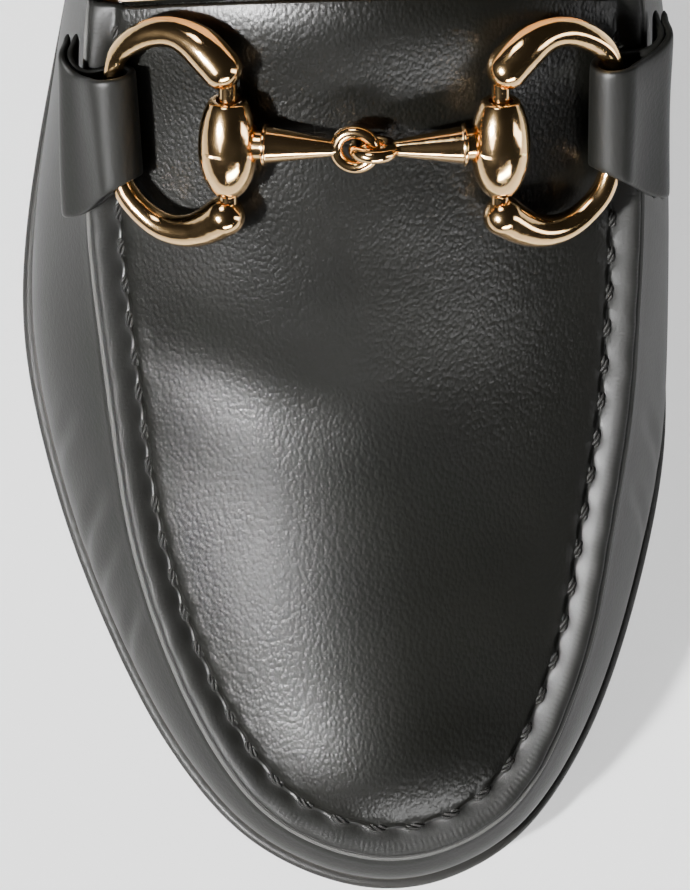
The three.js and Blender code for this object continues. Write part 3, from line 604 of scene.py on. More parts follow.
def unit(vectors):
    return vectors / np.maximum(np.linalg.norm(vectors, axis=-1, keepdims=True), 1e-9)


def face_normal(turn, inward):
    step = 0.01
    reach = 1.5
    along = face_at(turn + step, inward) - face_at(turn - step, inward)
    across = face_at(turn, inward + reach) - face_at(turn, inward - reach)
    return unit(np.cross(along, across))


def shell(outer, inner, quads):
    """A closed skin between two faces that share their cells. Gives points, faces and which face is inner."""
    count = len(outer)
    edges = np.concatenate([quads[:, [k, (k + 1) % 4]] for k in range(4)])
    codes = edges[:, 0].astype(np.int64) * count + edges[:, 1]
    mirrored = edges[:, 1].astype(np.int64) * count + edges[:, 0]
    rim = edges[~np.isin(codes, mirrored)]
    rims = np.stack([rim[:, 1], rim[:, 0], rim[:, 0] + count, rim[:, 1] + count], axis=-1)
    faces = np.concatenate([quads, quads[:, ::-1] + count, rims])
    which = np.concatenate([np.zeros(len(quads)), np.ones(len(quads)), np.zeros(len(rims))])
    return np.concatenate([outer, inner]), faces, which


def grid_normals(grid):
    along = np.gradient(grid, axis=1)
    across = np.gradient(grid, axis=0)
    return unit(np.cross(along, across))


# Where the seam's length has come to at each turn, so that columns and stitches are evenly spaced.
seam_turns = np.linspace(throat_turn, full_turn - throat_turn, 2400)
seam_line = face_at(seam_turns, 3.6)
seam_steps = np.linalg.norm(np.diff(seam_line, axis=0), axis=1)
seam_run = np.concatenate([[0], np.cumsum(seam_steps)])
seam_length = seam_run[-1]


def seam_turn(run):
    return np.interp(run, seam_run, seam_turns)


def seam_share(turn):
    """The seam dies out towards the throat."""
    from_end = np.minimum(turn - throat_turn, full_turn - throat_turn - turn)
    return smooth_step(seam_start_share + from_end / seam_end_turn)


# Soft creases in the wall, by u and the height under the seam in millimetres.
WALL_CREASES = [
    {"side": -1, "u": (207, 216), "down": (5, 17), "width": 1.9, "depth": 0.42},
    {"side": -1, "u": (214, 221), "down": (4, 15), "width": 1.6, "depth": 0.3},
    {"side": -1, "u": (222, 230), "down": (3, 13), "width": 1.5, "depth": 0.32},
    {"side": -1, "u": (196, 203), "down": (9, 20), "width": 2.2, "depth": 0.25},
    {"side": 1, "u": (196, 204), "down": (6, 19), "width": 2.0, "depth": 0.3},
    {"side": 1, "u": (206, 213), "down": (5, 16), "width": 1.7, "depth": 0.28},
]
# Soft troughs across the apron where the foot bends it, by x and u.
APRON_TROUGHS = [
    {"x": (-30, 4), "u": (185, 199), "width": 7.0, "depth": 0.5},
    {"x": (-6, 28), "u": (199, 189), "width": 8.0, "depth": 0.08},
    {"x": (-20, 14), "u": (171, 177), "width": 6.0, "depth": 0.12},
]


def crease(a, b, start, end, width, depth):
    """A trough along a line with a low ridge at each side, which fades out towards its ends."""
    line = np.array([end[0] - start[0], end[1] - start[1]], float)
    size = np.hypot(*line)
    share = ((a - start[0]) * line[0] + (b - start[1]) * line[1]) / size**2
    off = ((a - start[0]) * line[1] - (b - start[1]) * line[0]) / size / width
    fade = smooth_step(1.3 - np.abs(share - 0.5) * 2)
    return -depth * fade * (1 - 0.8 * off**2) * np.exp(-(off**2))


front_columns = 460
wall_rows = 20
seam_rows = 30
apron_rows = 33
front_turns = seam_turn(np.linspace(0, seam_length, front_columns + 1))
front_turns[front_columns // 2] = math.pi
front_turns[front_columns // 2 + 1:] = full_turn - front_turns[: front_columns // 2][::-1]
seam_from = SEAM_SECTION["inward"][0]
seam_inward = np.linspace(seam_from, groove_at, seam_rows)
tall = wall_tall(front_turns)[None, :]
wall_inward = np.linspace(-1, 0, wall_rows + 1)[:-1, None] * (tall + seam_from) + seam_from
inward = np.concatenate([wall_inward, np.repeat(seam_inward[:, None], front_columns + 1, axis=1)])
turns = np.broadcast_to(front_turns, inward.shape)
seam_part = face_at(turns, inward)
groove = seam_part[-1]
groove_u = u_of(groove)
throat_groove = (groove_u[0] + groove_u[-1]) / 2
toe_groove = groove_u[front_columns // 2]
middle_end = toe_groove - apron_half / 2
middle_share = (middle_end - throat_groove) / (toe_groove - throat_groove)
mean_u = (groove_u + groove_u[::-1]) / 2
middle_u = mix(throat_groove, mean_u, middle_share)
middle_x = spine_at(middle_u)[0]
shares = (np.arange(1, apron_rows + 1) / apron_rows)[:, None]
apron_x = mix(groove[:, 0], middle_x, shares)
apron_u = mix(groove_u, middle_u, shares)
apron_part = on_last(apron_x, apron_u, apron_z(apron_x, apron_u))
front = np.concatenate([seam_part, apron_part])
normals = grid_normals(front)

# Across the seam the skin turns over gently from the wall to the apron.
first_seam = wall_rows
blend_low = np.searchsorted(seam_inward, -1.5) + first_seam
blend_high = np.searchsorted(seam_inward, 1.5) + first_seam
for row in range(blend_low, blend_high):
    share = smooth_step((row - blend_low) / (blend_high - blend_low))
    normals[row] = unit(mix(normals[blend_low - 1], normals[blend_high], share))

seam_raise = smooth_curve(SEAM_SECTION["inward"], SEAM_SECTION["raise"])
run_at = np.interp(front_turns, seam_turns, seam_run)
stitch_pitch = 5.3
stitch_start = 4.0
stitch_beat = np.cos(full_turn * (run_at - stitch_start) / stitch_pitch)
raises = np.zeros(front.shape[:2])
by_seam = raises[: len(inward)]
by_seam += np.where((inward > seam_from) & (inward < groove_at), seam_raise(inward), 0) * seam_share(turns)


def bell(middle, width):
    """1 at this distance inward from the wall's top edge, and less on both sides."""
    return np.exp(-(((inward - middle) / width) ** 2))


# The stitches pull the groove down and pucker the apron's edge, and the roll's height wanders a little.
groove_pucker = 0.28
apron_pucker = 0.09
by_seam += groove_pucker * bell(3.7, 0.55) * stitch_beat * seam_share(turns)
by_seam -= apron_pucker * bell(4.6, 0.7) * stitch_beat
wander = 0.07 * np.sin(run_at / 3.1) * np.sin(run_at / 1.7 + 1) + 0.05 * np.sin(run_at / 0.9)
by_seam += wander * bell(1.2, 0.8)

front_u = u_of(front)
down = -inward
for row in WALL_CREASES:
    on_side = (turns < math.pi) if row["side"] < 0 else (turns > math.pi)
    start = (row["u"][0], row["down"][0])
    end = (row["u"][1], row["down"][1])
    wave = crease(front_u[: len(inward)], down, start, end, row["width"], row["depth"])
    by_seam += np.where(on_side & (down > 0), wave * smooth_step(down / 2.5), 0)
for row in APRON_TROUGHS:
    start = (row["x"][0], row["u"][0])
    end = (row["x"][1], row["u"][1])
    wave = crease(front[..., 0], front_u, start, end, row["width"], row["depth"])
    inside = np.zeros(front.shape[:2])
    inside[: len(inward)] = smooth_step((inward - 4) / 3)
    inside[len(inward):] = 1
    raises += wave * inside

# The wall behind the throat
rear_columns = 130
rear_turns = np.linspace(-throat_turn, throat_turn, rear_columns + 1)[1:-1]
top_row = first_seam + int(np.searchsorted(seam_inward, 0.0))
rear_share = np.clip(inward[: top_row, :1] / -tall[0, 0], 0, 1)
rear_inward = -rear_share * wall_tall(rear_turns)[None, :]
rear_inward = np.concatenate([rear_inward, np.zeros((1, len(rear_turns)))])
rear = face_at(np.broadcast_to(rear_turns % full_turn, rear_inward.shape), rear_inward)
rear_wall = wall_at(
    np.broadcast_to(rear_turns, rear_inward.shape), 1 + rear_inward / wall_tall(rear_turns)[None, :]
)

# The tongue, behind the apron's last line across
tongue_rows = 18
rows_total = front.shape[0]
groove_row = len(inward) - 1
numbers = np.arange(rows_total * (front_columns + 1)).reshape(rows_total, front_columns + 1)
half_columns = front_columns // 2
numbers[-1, half_columns + 1:] = numbers[-1, :half_columns][::-1]
across_numbers = np.concatenate([numbers[groove_row:, 0], numbers[groove_row:-1, -1][::-1]])
front_flat = front.reshape(-1, 3)
line = front_flat[across_numbers]
centre_x = spine_at(np.array(throat_u))[0]
half_width = (line[-1, 0] - line[0, 0]) / 2
t = (np.arange(1, tongue_rows + 1) / tongue_rows)[:, None]
narrowing = mix(1, tongue_tip_width / 2 / half_width, smooth_step(t))
corner = (np.abs(line[:, 0] - centre_x) / half_width) ** 4
tongue_x = centre_x + (line[:, 0] - centre_x) * narrowing
tongue_u = u_of(line) - tongue_length * t * (1 - tongue_tip_round * t * corner)
tongue = on_last(tongue_x, tongue_u, apron_z(tongue_x, tongue_u))
tongue_normals = -grid_normals(np.concatenate([line[None], tongue]))[1:]

rear_normals = grid_normals(rear_wall)
base = np.concatenate([front_flat, rear_wall.reshape(-1, 3), tongue.reshape(-1, 3)])
base_normals = np.concatenate([
    normals.reshape(-1, 3), rear_normals.reshape(-1, 3), tongue_normals.reshape(-1, 3)
])
base_raises = np.concatenate([raises.ravel(), np.zeros(len(base) - len(front_flat))])
spare_numbers = np.arange(len(front_flat), len(base))
rear_numbers, tongue_numbers = np.split(spare_numbers, [rear_wall[..., 0].size])
rear_numbers = rear_numbers.reshape(rear_wall.shape[:2])
tongue_numbers = tongue_numbers.reshape(tongue.shape[:2])
ring_numbers = np.concatenate(
    [numbers[: top_row + 1, -1:], rear_numbers, numbers[: top_row + 1, :1]], axis=1
)
quads = np.concatenate([
    cells(numbers),
    cells(ring_numbers),
    cells(np.concatenate([across_numbers[None], tongue_numbers]))[:, ::-1],
])
upper_points, upper_faces, upper_which = shell(
    base + base_normals * base_raises[:, None], base - base_normals * leather_wall, quads
)
far_in = 20.0


def seamless(points):
    """The marks of a piece that lies far from the seam."""
    return {"seam_run": np.zeros(len(points)), "seam_in": np.full(len(points), -far_in)}


seam_mark = np.concatenate([
    np.broadcast_to(run_at, front.shape[:2]).ravel(),
    np.zeros(len(base) - len(front_flat)),
])
inward_mark = np.full(len(base), far_in)
inward_mark[: inward.size] = inward.ravel()
inward_mark[len(front_flat): len(front_flat) + rear_numbers.size] = -far_in
marks = {"seam_run": np.tile(seam_mark, 2), "seam_in": np.tile(inward_mark, 2)}

# The calf's grain is full on the apron and faint on the wall, the roll is gathered by its stitches, and the
# lip's cut edge is grey. Two marks on the mesh say where the seam lies: seam_run along it, seam_in across it.
calf, calf_shader, place = new_finish("black_calf")
run_mark = place.node("ShaderNodeAttribute", {"attribute_name": "seam_run"}, {}, "Fac")
in_mark = place.node("ShaderNodeAttribute", {"attribute_name": "seam_in"}, {}, "Fac")


def band(value, low, high, soft):
    """1 between low and high, falling off over soft."""
    settings = {"interpolation_type": "SMOOTHSTEP"}
    up = value.node("ShaderNodeMapRange", settings, {"Value": value, "From Min": low - soft, "From Max": low})
    out = value.node(
        "ShaderNodeMapRange", settings,
        {"Value": value, "From Min": high, "From Max": high + soft, "To Min": 1.0, "To Max": 0.0},
    )
    return up * out


on_apron = band(in_mark, 4.2, 99, 1.2)
on_roll = band(in_mark, 0.45, 2.2, 0.4)
on_lip = band(in_mark, -0.22, 0.2, 0.12)
gathers = place.node(
    "ShaderNodeMath", {"operation": "SINE"}, {0: run_mark * 9.5 + 5 * place.noise(place, 0.9, 2)}
)
grain = pebbles(place, 0.7, 1.6, 0.25, 1.9, 0.3) * (0.35 + 0.65 * on_apron) + 0.3 * place.noise(place, 5.5, 3)
broken = 0.35 * on_roll * gathers * place.noise(place, 0.5, 2)
cloud = place.noise(place, 0.06, 3)
black = cloud.blend((0.001, 0.001, 0.0008, 1), (0.0022, 0.0022, 0.0016, 1))
feed(
    calf_shader,
    Base_Color=(0.75 * on_lip).blend(black, (0.04, 0.04, 0.038, 1)),
    Roughness=0.33 + 0.08 * (cloud - 0.5) + 0.08 * on_roll + 0.16 * (1 - on_apron),
    Normal=(grain + broken).bump(0.05),
    Coat_Weight=0.02,
    Coat_Roughness=0.3,
    Specular_IOR_Level=0.16,
)
lining = leather("tan_lining", (0.4, 0.26, 0.15), (0.46, 0.31, 0.19), 0.6, 1.1, 0.03, 0.0)
add_piece(
    "calf_upper", upper_points, upper_faces, [calf, lining], ["upper"],
    which=upper_which, marks=marks,
)

# Quarter and back strap
# The quarter laps the wall from the throat round the heel, and a strap covers the seam at the back. Both are
# skived calf, sewn down near their edges.
quarter_step = 0.8
strap_half_turn = 0.24
step_run = 0.012
skived = 0.35


def add_overlay(name, from_turn, to_turn, columns, rows, low, high):
    turns = np.linspace(from_turn, to_turn, columns)
    edge = 0.0016 * np.array([0, 1, 3])
    turns = np.concatenate([from_turn + edge, turns[1:-1], to_turn - edge[::-1]])
    rises = np.concatenate([[0, 0.02], np.linspace(0.05, 1, rows)])
    grid = wall_at(turns[None, :], rises[:, None])
    outward = grid_normals(grid)
    over = np.full(grid.shape[:2], high)
    over[:, [0, -1]] = mix(low, high, 0.45)
    over[:, [1, -2]] = mix(low, high, 0.85)
    over[0] = low + skived * (high - low)
    numbers = np.arange(over.size).reshape(over.shape)
    outer = (grid + outward * over[..., None]).reshape(-1, 3)
    inner = (grid + outward * (low - 0.05)).reshape(-1, 3)
    points, faces, which = shell(outer, inner, cells(numbers))
    add_piece(name, points, faces, [calf], sharp=60, marks=seamless(points))


quarter_end = throat_turn - step_run
add_overlay("quarter", -quarter_end, quarter_end, 330, 40, 0.0, quarter_step)
add_overlay("back_strap", -strap_half_turn, strap_half_turn, 60, 60, quarter_step, 2 * quarter_step)

# Collar binding
# A narrow strip of calf, folded over the collar's edge from throat to throat and sewn through.
binding_thickness = 0.9
binding_gap = 0.45
binding_depth = 4.5


def soft_step_at(turn):
    over = smooth_step((strap_half_turn + 2 * step_run - np.abs(turn)) / (2 * step_run))
    return quarter_step * (1 + over)


binding_turns = np.linspace(-(quarter_end - step_run), quarter_end - step_run, 320)


def collar_frame(turns):
    at = wall_at(turns, 1.0)
    up = unit(at - wall_at(turns, 0.96))
    along = wall_at(turns + step_run, 1.0) - wall_at(turns - step_run, 1.0)
    return at, unit(np.cross(along, up)), up


def binding_section(face):
    """Across and over the collar's edge: down the outside, over the top, and down the inside."""
    out = binding_gap + binding_thickness
    back = -leather_wall
    middle = (face + back) / 2
    half = (face - back) / 2 + out
    bend = np.linspace(0, math.pi, 15)
    top = [(middle + half * math.cos(a), out * math.sin(a)) for a in bend]
    inner_half = half - binding_thickness
    under = [(middle + inner_half * math.cos(a), binding_gap * math.sin(a)) for a in bend[::-1]]
    outside = [(middle + half - 0.1, -binding_depth), (middle + half, -binding_depth + 0.3)]
    inside = [(middle - half, -binding_depth + 0.3), (middle - half + 0.1, -binding_depth)]
    under_out = [(middle - inner_half, -binding_depth)]
    under_in = [(middle + inner_half, -binding_depth)]
    return np.array(outside + top + inside + under_out + under + under_in)


def tube(sections):
    """A closed bar through matching closed sections, with flat ends."""
    rows, count = sections.shape[:2]
    numbers = np.arange(rows * count).reshape(rows, count)
    faces = cells(numbers, closed=True).tolist()
    faces += [numbers[0][::-1].tolist(), numbers[-1].tolist()]
    return sections.reshape(-1, 3), faces


at, across, up = collar_frame(binding_turns)
binding_rows = []
for i, turn in enumerate(binding_turns):
    profile = binding_section(float(soft_step_at(turn)))
    binding_rows.append(at[i] + profile[:, :1] * across[i] + profile[:, 1:] * up[i])
binding_points, binding_faces = tube(np.array(binding_rows))
add_piece(
    "binding", binding_points, binding_faces, [calf], ["collar_binding"],
    sharp=50, marks=seamless(binding_points),
)

# Insole
# A leather board with a tan sock glued on it, which lies inside the wall on the outsole.
insole_thickness = 2.4


def insole_ring(inset, lift):
    x, u = inset_from(ring_turns, sole_width * foot_inset(ring_turns) + leather_wall + 2 * seat_gap + inset)
    return on_last(x, u, sole_top(u) + seat_gap + lift)


INSOLE_EDGE = [(0.1, 0), (0, 0.2), (0, insole_thickness - 0.5),
               (0.15, insole_thickness - 0.12), (0.6, insole_thickness)]
insole_rings = np.stack([
    insole_ring(inset, lift) for inset, lift in INSOLE_EDGE
])
insole_points, insole_faces = slab(insole_rings)
add_piece("sock", insole_points, insole_faces, [lining], ["insole"], sharp=50)

# Threads
# The apron's seam is sewn by hand with waxed black thread, a double strand to each stitch. The laps and the
# binding are sewn by machine.
thread, thread_shader, place = new_finish("waxed_thread")
fibres = place.noise(place, 7.0, 3)
feed(
    thread_shader,
    Base_Color=fibres.blend((0.002, 0.002, 0.002, 1), (0.01, 0.0098, 0.009, 1)),
    Roughness=0.55,
    Specular_IOR_Level=0.12,
    Normal=fibres.bump(0.08),
)


def strand(line, side, up, radius, sides=8):
    """A thread along a line, narrowing to its two ends."""
    stations = len(line)
    ease = np.sqrt(np.clip(1 - np.linspace(-1, 1, stations) ** 4, 0.06, 1))
    angles = np.arange(sides) * full_turn / sides
    rounds = side[:, None] * np.cos(angles)[None, :, None] + up[:, None] * np.sin(angles)[None, :, None]
    return tube(line[:, None] + rounds * radius * ease[:, None, None])


def joined(parts):
    """Several meshes as one."""
    points = []
    faces = []
    start = 0
    for part_points, part_faces in parts:
        points.append(part_points)
        faces += [[start + k for k in face] for face in part_faces]
        start += len(part_points)
    return np.concatenate(points), faces


def surface_point(run, inward_mm, lift):
    turn = seam_turn(run)
    normal = face_normal(turn, inward_mm)
    return face_at(turn, inward_mm) + normal * np.reshape(lift, (-1, 1)), normal


hand_stitches = []
stitch_half = 1.5
for number in range(int((seam_length - 2 * stitch_start) / stitch_pitch) + 1):
    run = stitch_start + number * stitch_pitch + stitch_half * np.linspace(-1, 1, 11)
    dive = np.linspace(-1, 1, 11) ** 2
    for k in range(3):
        twist = full_turn * (k / 3 + np.linspace(0, 0.8, 11)) + number
        sideways = 3.75 + 0.32 * np.cos(twist)
        lift = -0.22 + 0.22 * np.sin(twist) - 0.6 * dive**2
        centre, normal = surface_point(run, sideways, lift)
        side = unit(np.cross(np.gradient(centre, axis=0), normal))
        hand_stitches.append(strand(centre, side, normal, 0.26))
stitch_points, stitch_faces = joined(hand_stitches)
add_piece("hand_stitches", stitch_points, stitch_faces, [thread])


def machine_row(line, normal, pitch, length, radius):
    """A row of short stitches along a line that lies on the leather."""
    steps = np.concatenate([[0], np.cumsum(np.linalg.norm(np.diff(line, axis=0), axis=1))])
    made = []
    for start in np.arange(0.5, steps[-1] - length, pitch):
        run = np.linspace(start, start + length, 7)
        centre = np.stack([np.interp(run, steps, line[:, k]) for k in range(3)], axis=-1)
        up = unit(np.stack([np.interp(run, steps, normal[:, k]) for k in range(3)], axis=-1))
        side = unit(np.cross(np.gradient(centre, axis=0), up))
        sink = 0.3 * np.linspace(-1, 1, 7) ** 4
        made.append(strand(centre - up * sink[:, None], side, up, radius, 6))
    return made


def wall_line(turns, rises, lift):
    step = 0.01
    at = wall_at(turns, rises)
    along = wall_at(turns + step, rises) - wall_at(turns - step, rises)
    upward = wall_at(turns, np.minimum(rises + 0.02, 1.02)) - wall_at(turns, rises - 0.02)
    outward = unit(np.cross(along, upward))
    return at + outward * lift, outward


machine_stitches = []
rises = np.linspace(0.06, 0.88, 90)
for side in (-1, 1):
    for back in (2.2, 4.4):
        turns_at = np.full(90, side * quarter_end) - side * back / 130
        machine_stitches += machine_row(*wall_line(turns_at, rises, quarter_step + 0.08), 2.6, 1.9, 0.24)
    turns_at = np.full(90, side * (strap_half_turn - 0.035))
    machine_stitches += machine_row(*wall_line(turns_at, rises, 2 * quarter_step + 0.08), 2.6, 1.9, 0.24)
binding_line = at + across * (soft_step_at(binding_turns) + binding_gap + binding_thickness + 0.05)[:, None]
machine_stitches += machine_row(binding_line - up * (binding_depth - 1.3), across, 2.6, 1.9, 0.22)
row_points, row_faces = joined(machine_stitches)
add_piece("machine_stitches", row_points, row_faces, [thread])

# Bit
# A small snaffle cast in brass, polished and plated with gold. Two horned cheeks turn on pins through the
# barrels of a mouth in two halves, whose eyes are linked. The lateral half's eye lies flat.
bit_along = 0.609
eye_hole = 1.55
eye_wire = 0.95
eye_spacing = 2.5
arm_reach = 18.25
arm_thin = 1.15
arm_thick = 2.5
collar_radius = 2.9
collar_width = 0.45
neck_radius = 2.1
neck_length = 0.6
barrel_radius = 4.05
barrel_rear_radius = 2.45
barrel_front_radius = 1.75
barrel_length = 13.7
barrel_forward = 0.6
pin_radius = 1.25
bit_clearance = 0.3
barrel_rise = 1.15
bar_rise = 3.3
cheek_length = 28.6
cheek_reach = 17.35
bulb_radius = 2.9

CHEEK = {
    "out": [0.058, 0.225, 0.421, 0.617, 0.795, 0.922, 0.978, 0.998, 1,
            0.99, 0.959, 0.893, 0.786, 0.611, 0.398, 0.202, 0.035],
    "back": [0.372, 0.458, 0.503, 0.49, 0.43, 0.353, 0.27, 0.16, 0.03,
             -0.1, -0.234, -0.345, -0.42, -0.486, -0.497, -0.451, -0.376],
    "radius": [1, 0.965, 0.77, 0.69, 0.62, 0.52, 0.46, 0.43, 0.43,
               0.44, 0.48, 0.55, 0.58, 0.64, 0.74, 0.86, 0.965],
}
bit_u = sole_length * bit_along
slope_span = 6.0
behind_z, before_z = spine_at(bit_u + slope_span * np.array([-1, 1]))[1]
bit_slope = math.atan(float(behind_z - before_z) / (2 * slope_span))
bit_x, bit_z = (float(v) for v in spine_at(np.array(bit_u)))
bit_origin = Vector(on_last(bit_x, bit_u, bit_z))
bit_lift = eye_hole + 2 * eye_wire + 2 * bit_clearance
bit_frame = Matrix.Translation(bit_origin) @ Matrix.Rotation(bit_slope, 4, "X")
bit_frame = bit_frame @ Matrix.Translation((0, 0, bit_lift))
bit_arch = float(arch_at(np.array(bit_u)))
barrel_drop = bit_arch * arm_reach**2 - barrel_rise
bar_drop = bit_arch * (arm_reach + cheek_reach) ** 2 - bar_rise
arm_droop = math.atan(barrel_drop / arm_reach)
cheek_fold = math.asin((bar_drop - barrel_drop) / cheek_reach) - arm_droop


def turned(matrix, points):
    moved = np.asarray(points, float) @ np.array(matrix.to_3x3()).T
    return moved + np.array(matrix.translation)


def lathe(profile, segments=72):
    """A solid turned about the x axis from pairs of place and radius, closed at both ends on the axis."""
    profile = np.asarray(profile, float)
    angles = np.arange(segments) * full_turn / segments
    rings = np.stack([
        np.broadcast_to(profile[:, :1], (len(profile), segments)),
        profile[:, 1:] * np.cos(angles),
        profile[:, 1:] * np.sin(angles),
    ], axis=-1)
    return tube(rings)


def eased(corners, round_by, steps=5):
    """A profile with its corners rounded."""
    line = [corners[0]]
    for before, corner, after in zip(corners, corners[1:], corners[2:]):
        before, corner, after = (np.array(p, float) for p in (before, corner, after))
        reach = min(round_by, np.linalg.norm(before - corner) / 2, np.linalg.norm(after - corner) / 2)
        start = corner + unit(before - corner) * reach
        end = corner + unit(after - corner) * reach
        for t in np.linspace(0, 1, steps):
            line.append(mix(mix(start, corner, t), mix(corner, end, t), t))
    return [*line, corners[-1]]


def mouth_half(flat):
    half = barrel_length / 2
    bore = pin_radius + bit_clearance
    belly = np.linspace(-1, 1, 61)
    fall = 1 - (np.where(belly < 0, barrel_front_radius, barrel_rear_radius) / barrel_radius) ** 2
    radii = barrel_radius * np.sqrt(1 - fall * belly**2)
    mouth = 0.18
    profile = [(-half + 1.2, bore), (-half, bore), (-half, radii[0] - mouth)]
    profile += list(zip(belly * half, radii))[1:-1]
    profile += [(half, radii[-1] - mouth), (half, bore), (half - 1.2, bore)]
    barrel_points, barrel_faces = lathe(eased(profile, 0.3, 3), 72)
    barrel_points = barrel_points[:, [1, 0, 2]] + np.array([arm_reach, -barrel_forward, 0])
    barrel_faces = [face[::-1] for face in barrel_faces]
    arm_start = eye_spacing / 2 + eye_hole + eye_wire
    collar = arm_reach - barrel_radius - neck_length
    cone = [(arm_start - 0.3, 0.01), (arm_start - 0.3, arm_thin * 0.75), (arm_start + 0.7, arm_thin),
            (collar - collar_width - 0.2, arm_thick), (collar - collar_width, arm_thick + 0.05),
            (collar - collar_width, collar_radius), (collar, collar_radius), (collar, neck_radius),
            (arm_reach - barrel_radius / 2, neck_radius), (arm_reach - barrel_radius / 2, 0.01)]
    around = np.arange(64) * full_turn / 64
    small = np.arange(28) * full_turn / 28
    ring = (eye_hole + eye_wire) + eye_wire * np.cos(small)[None, :]
    wire = np.broadcast_to(eye_wire * np.sin(small)[None, :], (64, 28))
    eye = np.stack([ring * np.cos(around)[:, None], ring * np.sin(around)[:, None], wire], axis=-1)
    if not flat:
        eye = eye[..., [0, 2, 1]]
    eye = eye + np.array([eye_spacing / 2, 0, 0])
    eye_numbers = np.arange(64 * 28).reshape(64, 28)
    eye_faces = cells(np.concatenate([eye_numbers, eye_numbers[:1]]), closed=True).tolist()
    if flat:
        eye_faces = [face[::-1] for face in eye_faces]
    return joined([(barrel_points, barrel_faces), lathe(eased(cone, 0.2)), (eye.reshape(-1, 3), eye_faces)])


cheek_share = np.linspace(0, 1, len(CHEEK["out"]))
cheek_out = smooth_curve(cheek_share, cheek_reach * np.array(CHEEK["out"]))
cheek_back = smooth_curve(cheek_share, cheek_length * np.array(CHEEK["back"]))
cheek_radius = smooth_curve(cheek_share, bulb_radius * np.array(CHEEK["radius"]))


def cheek_line(t):
    return np.stack([cheek_out(t), cheek_back(t), np.zeros_like(t)], axis=-1)


def cheek():
    ends = np.radians(np.linspace(86, 8, 10))
    t = np.concatenate([np.zeros(10), np.linspace(0, 1, 150), np.ones(10)])
    lean = np.concatenate([-np.sin(ends), np.zeros(150), np.sin(ends[::-1])])
    shrink = np.concatenate([np.cos(ends), np.ones(150), np.cos(ends[::-1])])
    tangent = unit(cheek_line(t + 1e-4) - cheek_line(t - 1e-4))
    side = np.stack([-tangent[:, 1], tangent[:, 0], tangent[:, 2]], axis=-1)
    radius = cheek_radius(t)
    centre = cheek_line(t) + tangent * (lean * radius)[:, None]
    angles = np.arange(40) * full_turn / 40
    rounds = side[:, None] * np.cos(angles)[None, :, None]
    rounds = rounds + np.array([0, 0, 1]) * np.sin(angles)[None, :, None]
    horn = tube(centre[:, None] + rounds * (radius * shrink)[:, None, None])
    front_end, rear_end = cheek_length * CHEEK["back"][-1], cheek_length * CHEEK["back"][0]
    pin_line = [(front_end, 0.01), (front_end, pin_radius), (rear_end, pin_radius), (rear_end, 0.01)]
    pin_points, pin_faces = lathe(pin_line, 40)
    return joined([horn, (pin_points[:, [1, 0, 2]], [face[::-1] for face in pin_faces])])


gilt, gilt_shader, place = new_finish("rose_gold_plate")
haze = place.noise(place, 0.5, 4)
feed(
    gilt_shader,
    Base_Color=haze.blend((0.88, 0.56, 0.25, 1), (0.92, 0.62, 0.31, 1)),
    Metallic=1.0,
    Roughness=0.09 + 0.06 * haze,
    Normal=place.noise(place, 0.35, 2).bump(0.06),
)


def add_on_side(name, mesh_parts, matrix, side, node):
    points, faces = mesh_parts
    points = points * np.array([side, 1, 1])
    faces = faces if side > 0 else [face[::-1] for face in faces]
    add_piece(name, turned(matrix, points), faces, [gilt], [node], sharp=50)


half_frames = {}
cheek_frames = {}
for side, word in ((-1, "lateral"), (1, "medial")):
    half_frames[side] = bit_frame @ Matrix.Rotation(side * arm_droop, 4, "Y")
    fold = Matrix.Rotation(side * cheek_fold, 4, "Y")
    cheek_frames[side] = half_frames[side] @ Matrix.Translation((side * arm_reach, 0, 0)) @ fold
    add_on_side(f"mouth_{word}", mouth_half(side < 0), half_frames[side], side, f"bit_mouth_{word}")
    add_on_side(f"cheek_{word}", cheek(), cheek_frames[side], side, f"bit_cheek_{word}")

# Tabs
# A strap of calf at each side, folded round the cheek's outer bar. Its two leaves are sewn together and run
# over the seam and down the wall.
tab_leather = 1.1
tab_slack = 0.4
tab_reach = 7.6
tab_ease = 3.5
tab_width = 15.0
tab_back = {-1: 2.9, 1: 4.4}
tab_flare_rear = 6.5
tab_flare_front = 2.5
TAB_COURSE = [
    {"out": 0.42, "flare": 0.5},
    {"out": 0.61, "flare": 0.7},
    {"out": 0.8, "flare": 0.85},
    {"out": 1.0, "flare": 1.0},
]


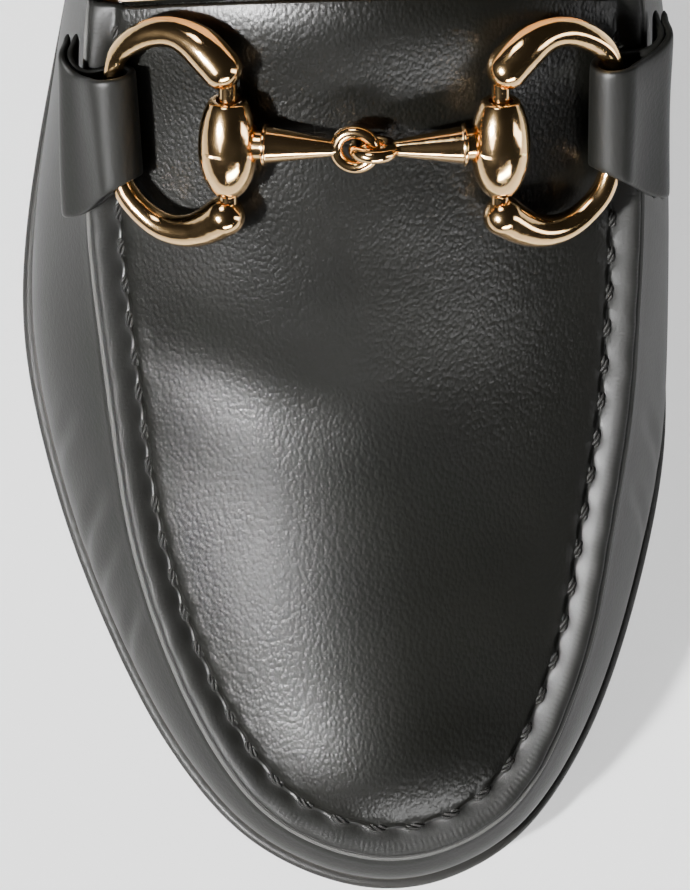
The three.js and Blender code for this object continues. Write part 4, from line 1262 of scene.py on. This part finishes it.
def tab_path(side, w):
    """The middle of the strap's leather at one place across its width: top leaf, fold, under leaf."""
    bars = turned(cheek_frames[side], cheek_line(np.linspace(0.2, 0.8, 400)) * np.array([side, 1, 1]))
    middle = bit_frame.translation.y + tab_back[side]
    rear, front_y = middle + tab_width / 2, middle - tab_width / 2

    def bar_at(y):
        return np.array([np.interp(-y, -bars[:, 1], bars[:, k]) for k in range(3)])

    rear_bar, front_bar = bar_at(rear), bar_at(front_y)
    forward = unit(front_bar - rear_bar)
    held = bars[(bars[:, 1] < rear) & (bars[:, 1] > front_y)] - rear_bar
    bows = held - (held @ forward)[:, None] * forward
    bow = bows[np.argmax(np.linalg.norm(bows, axis=1))]
    bar = mix(rear_bar, front_bar, w) + bow / 2
    centre = (rear_bar + front_bar + bow) / 2
    edge = lateral_edge if side < 0 else medial_edge
    bar_inward = side * (float(edge(u_of(centre))[0]) - centre[0])
    places = []
    outs = []
    for row in TAB_COURSE:
        u = u_of(bar) + mix(-tab_flare_rear, tab_flare_front, w) * row["flare"]
        turn = float(turn_of(u / sole_length))
        turn = np.array(turn if side < 0 else full_turn - turn)
        inward_mm = bar_inward - tab_reach * row["out"]
        ride = seat_gap + (seam_height + seat_gap) * smooth_step(1 + inward_mm / tab_ease)
        normal = face_normal(turn, np.array(inward_mm))
        places.append(face_at(turn, np.array(inward_mm)) + normal * (ride + tab_leather))
        outs.append(normal)
    places = np.array(places)
    outs = np.array(outs)
    outward = unit(places[0] - bar)
    up = unit(np.cross(forward, outward) * side)
    hole = bulb_radius * min(CHEEK["radius"]) + np.linalg.norm(bow) / 2 + tab_slack + bit_clearance
    angles = np.radians(np.linspace(62, 298, 15))
    radius = hole + tab_leather / 2
    loop = bar + outward * (np.cos(angles) * radius)[:, None] + up * (np.sin(angles) * radius)[:, None]
    lift = tab_leather / 2 + 0.03
    return np.concatenate([(places + outs * lift)[::-1], loop, places - outs * lift])


def resampled(path, count):
    """Evenly spaced points on a smooth curve through a path."""
    run = np.concatenate([[0], np.cumsum(np.linalg.norm(np.diff(path, axis=0), axis=1))])
    at = np.linspace(0, run[-1], count)
    return np.stack([smooth_curve(run, path[:, k])(at) for k in range(3)], axis=-1)


def add_tab(name, side, node):
    across = np.concatenate([[0, 0.008, 0.025], np.linspace(0.06, 0.94, 20), [0.975, 0.992, 1]])
    squeeze = np.array([0.45, 0.8, 0.96, *np.ones(20), 0.96, 0.8, 0.45])
    grid = np.stack([resampled(tab_path(side, w), 110) for w in across], axis=1)
    out = grid_normals(grid)
    end_squeeze = np.ones(110)
    end_squeeze[[0, -1]] = 0.5
    end_squeeze[[1, -2]] = 0.9
    half = tab_leather / 2 * squeeze[None, :] * end_squeeze[:, None]
    numbers = np.arange(half.size).reshape(half.shape)
    outer = (grid + out * half[..., None]).reshape(-1, 3)
    inner = (grid - out * half[..., None]).reshape(-1, 3)
    points, faces, which = shell(outer, inner, cells(numbers))
    add_piece(name, points, faces, [calf], [node], sharp=70, marks=seamless(points))


for side, word in ((-1, "lateral"), (1, "medial")):
    add_tab(f"tab_{word}", side, f"bit_tab_{word}")
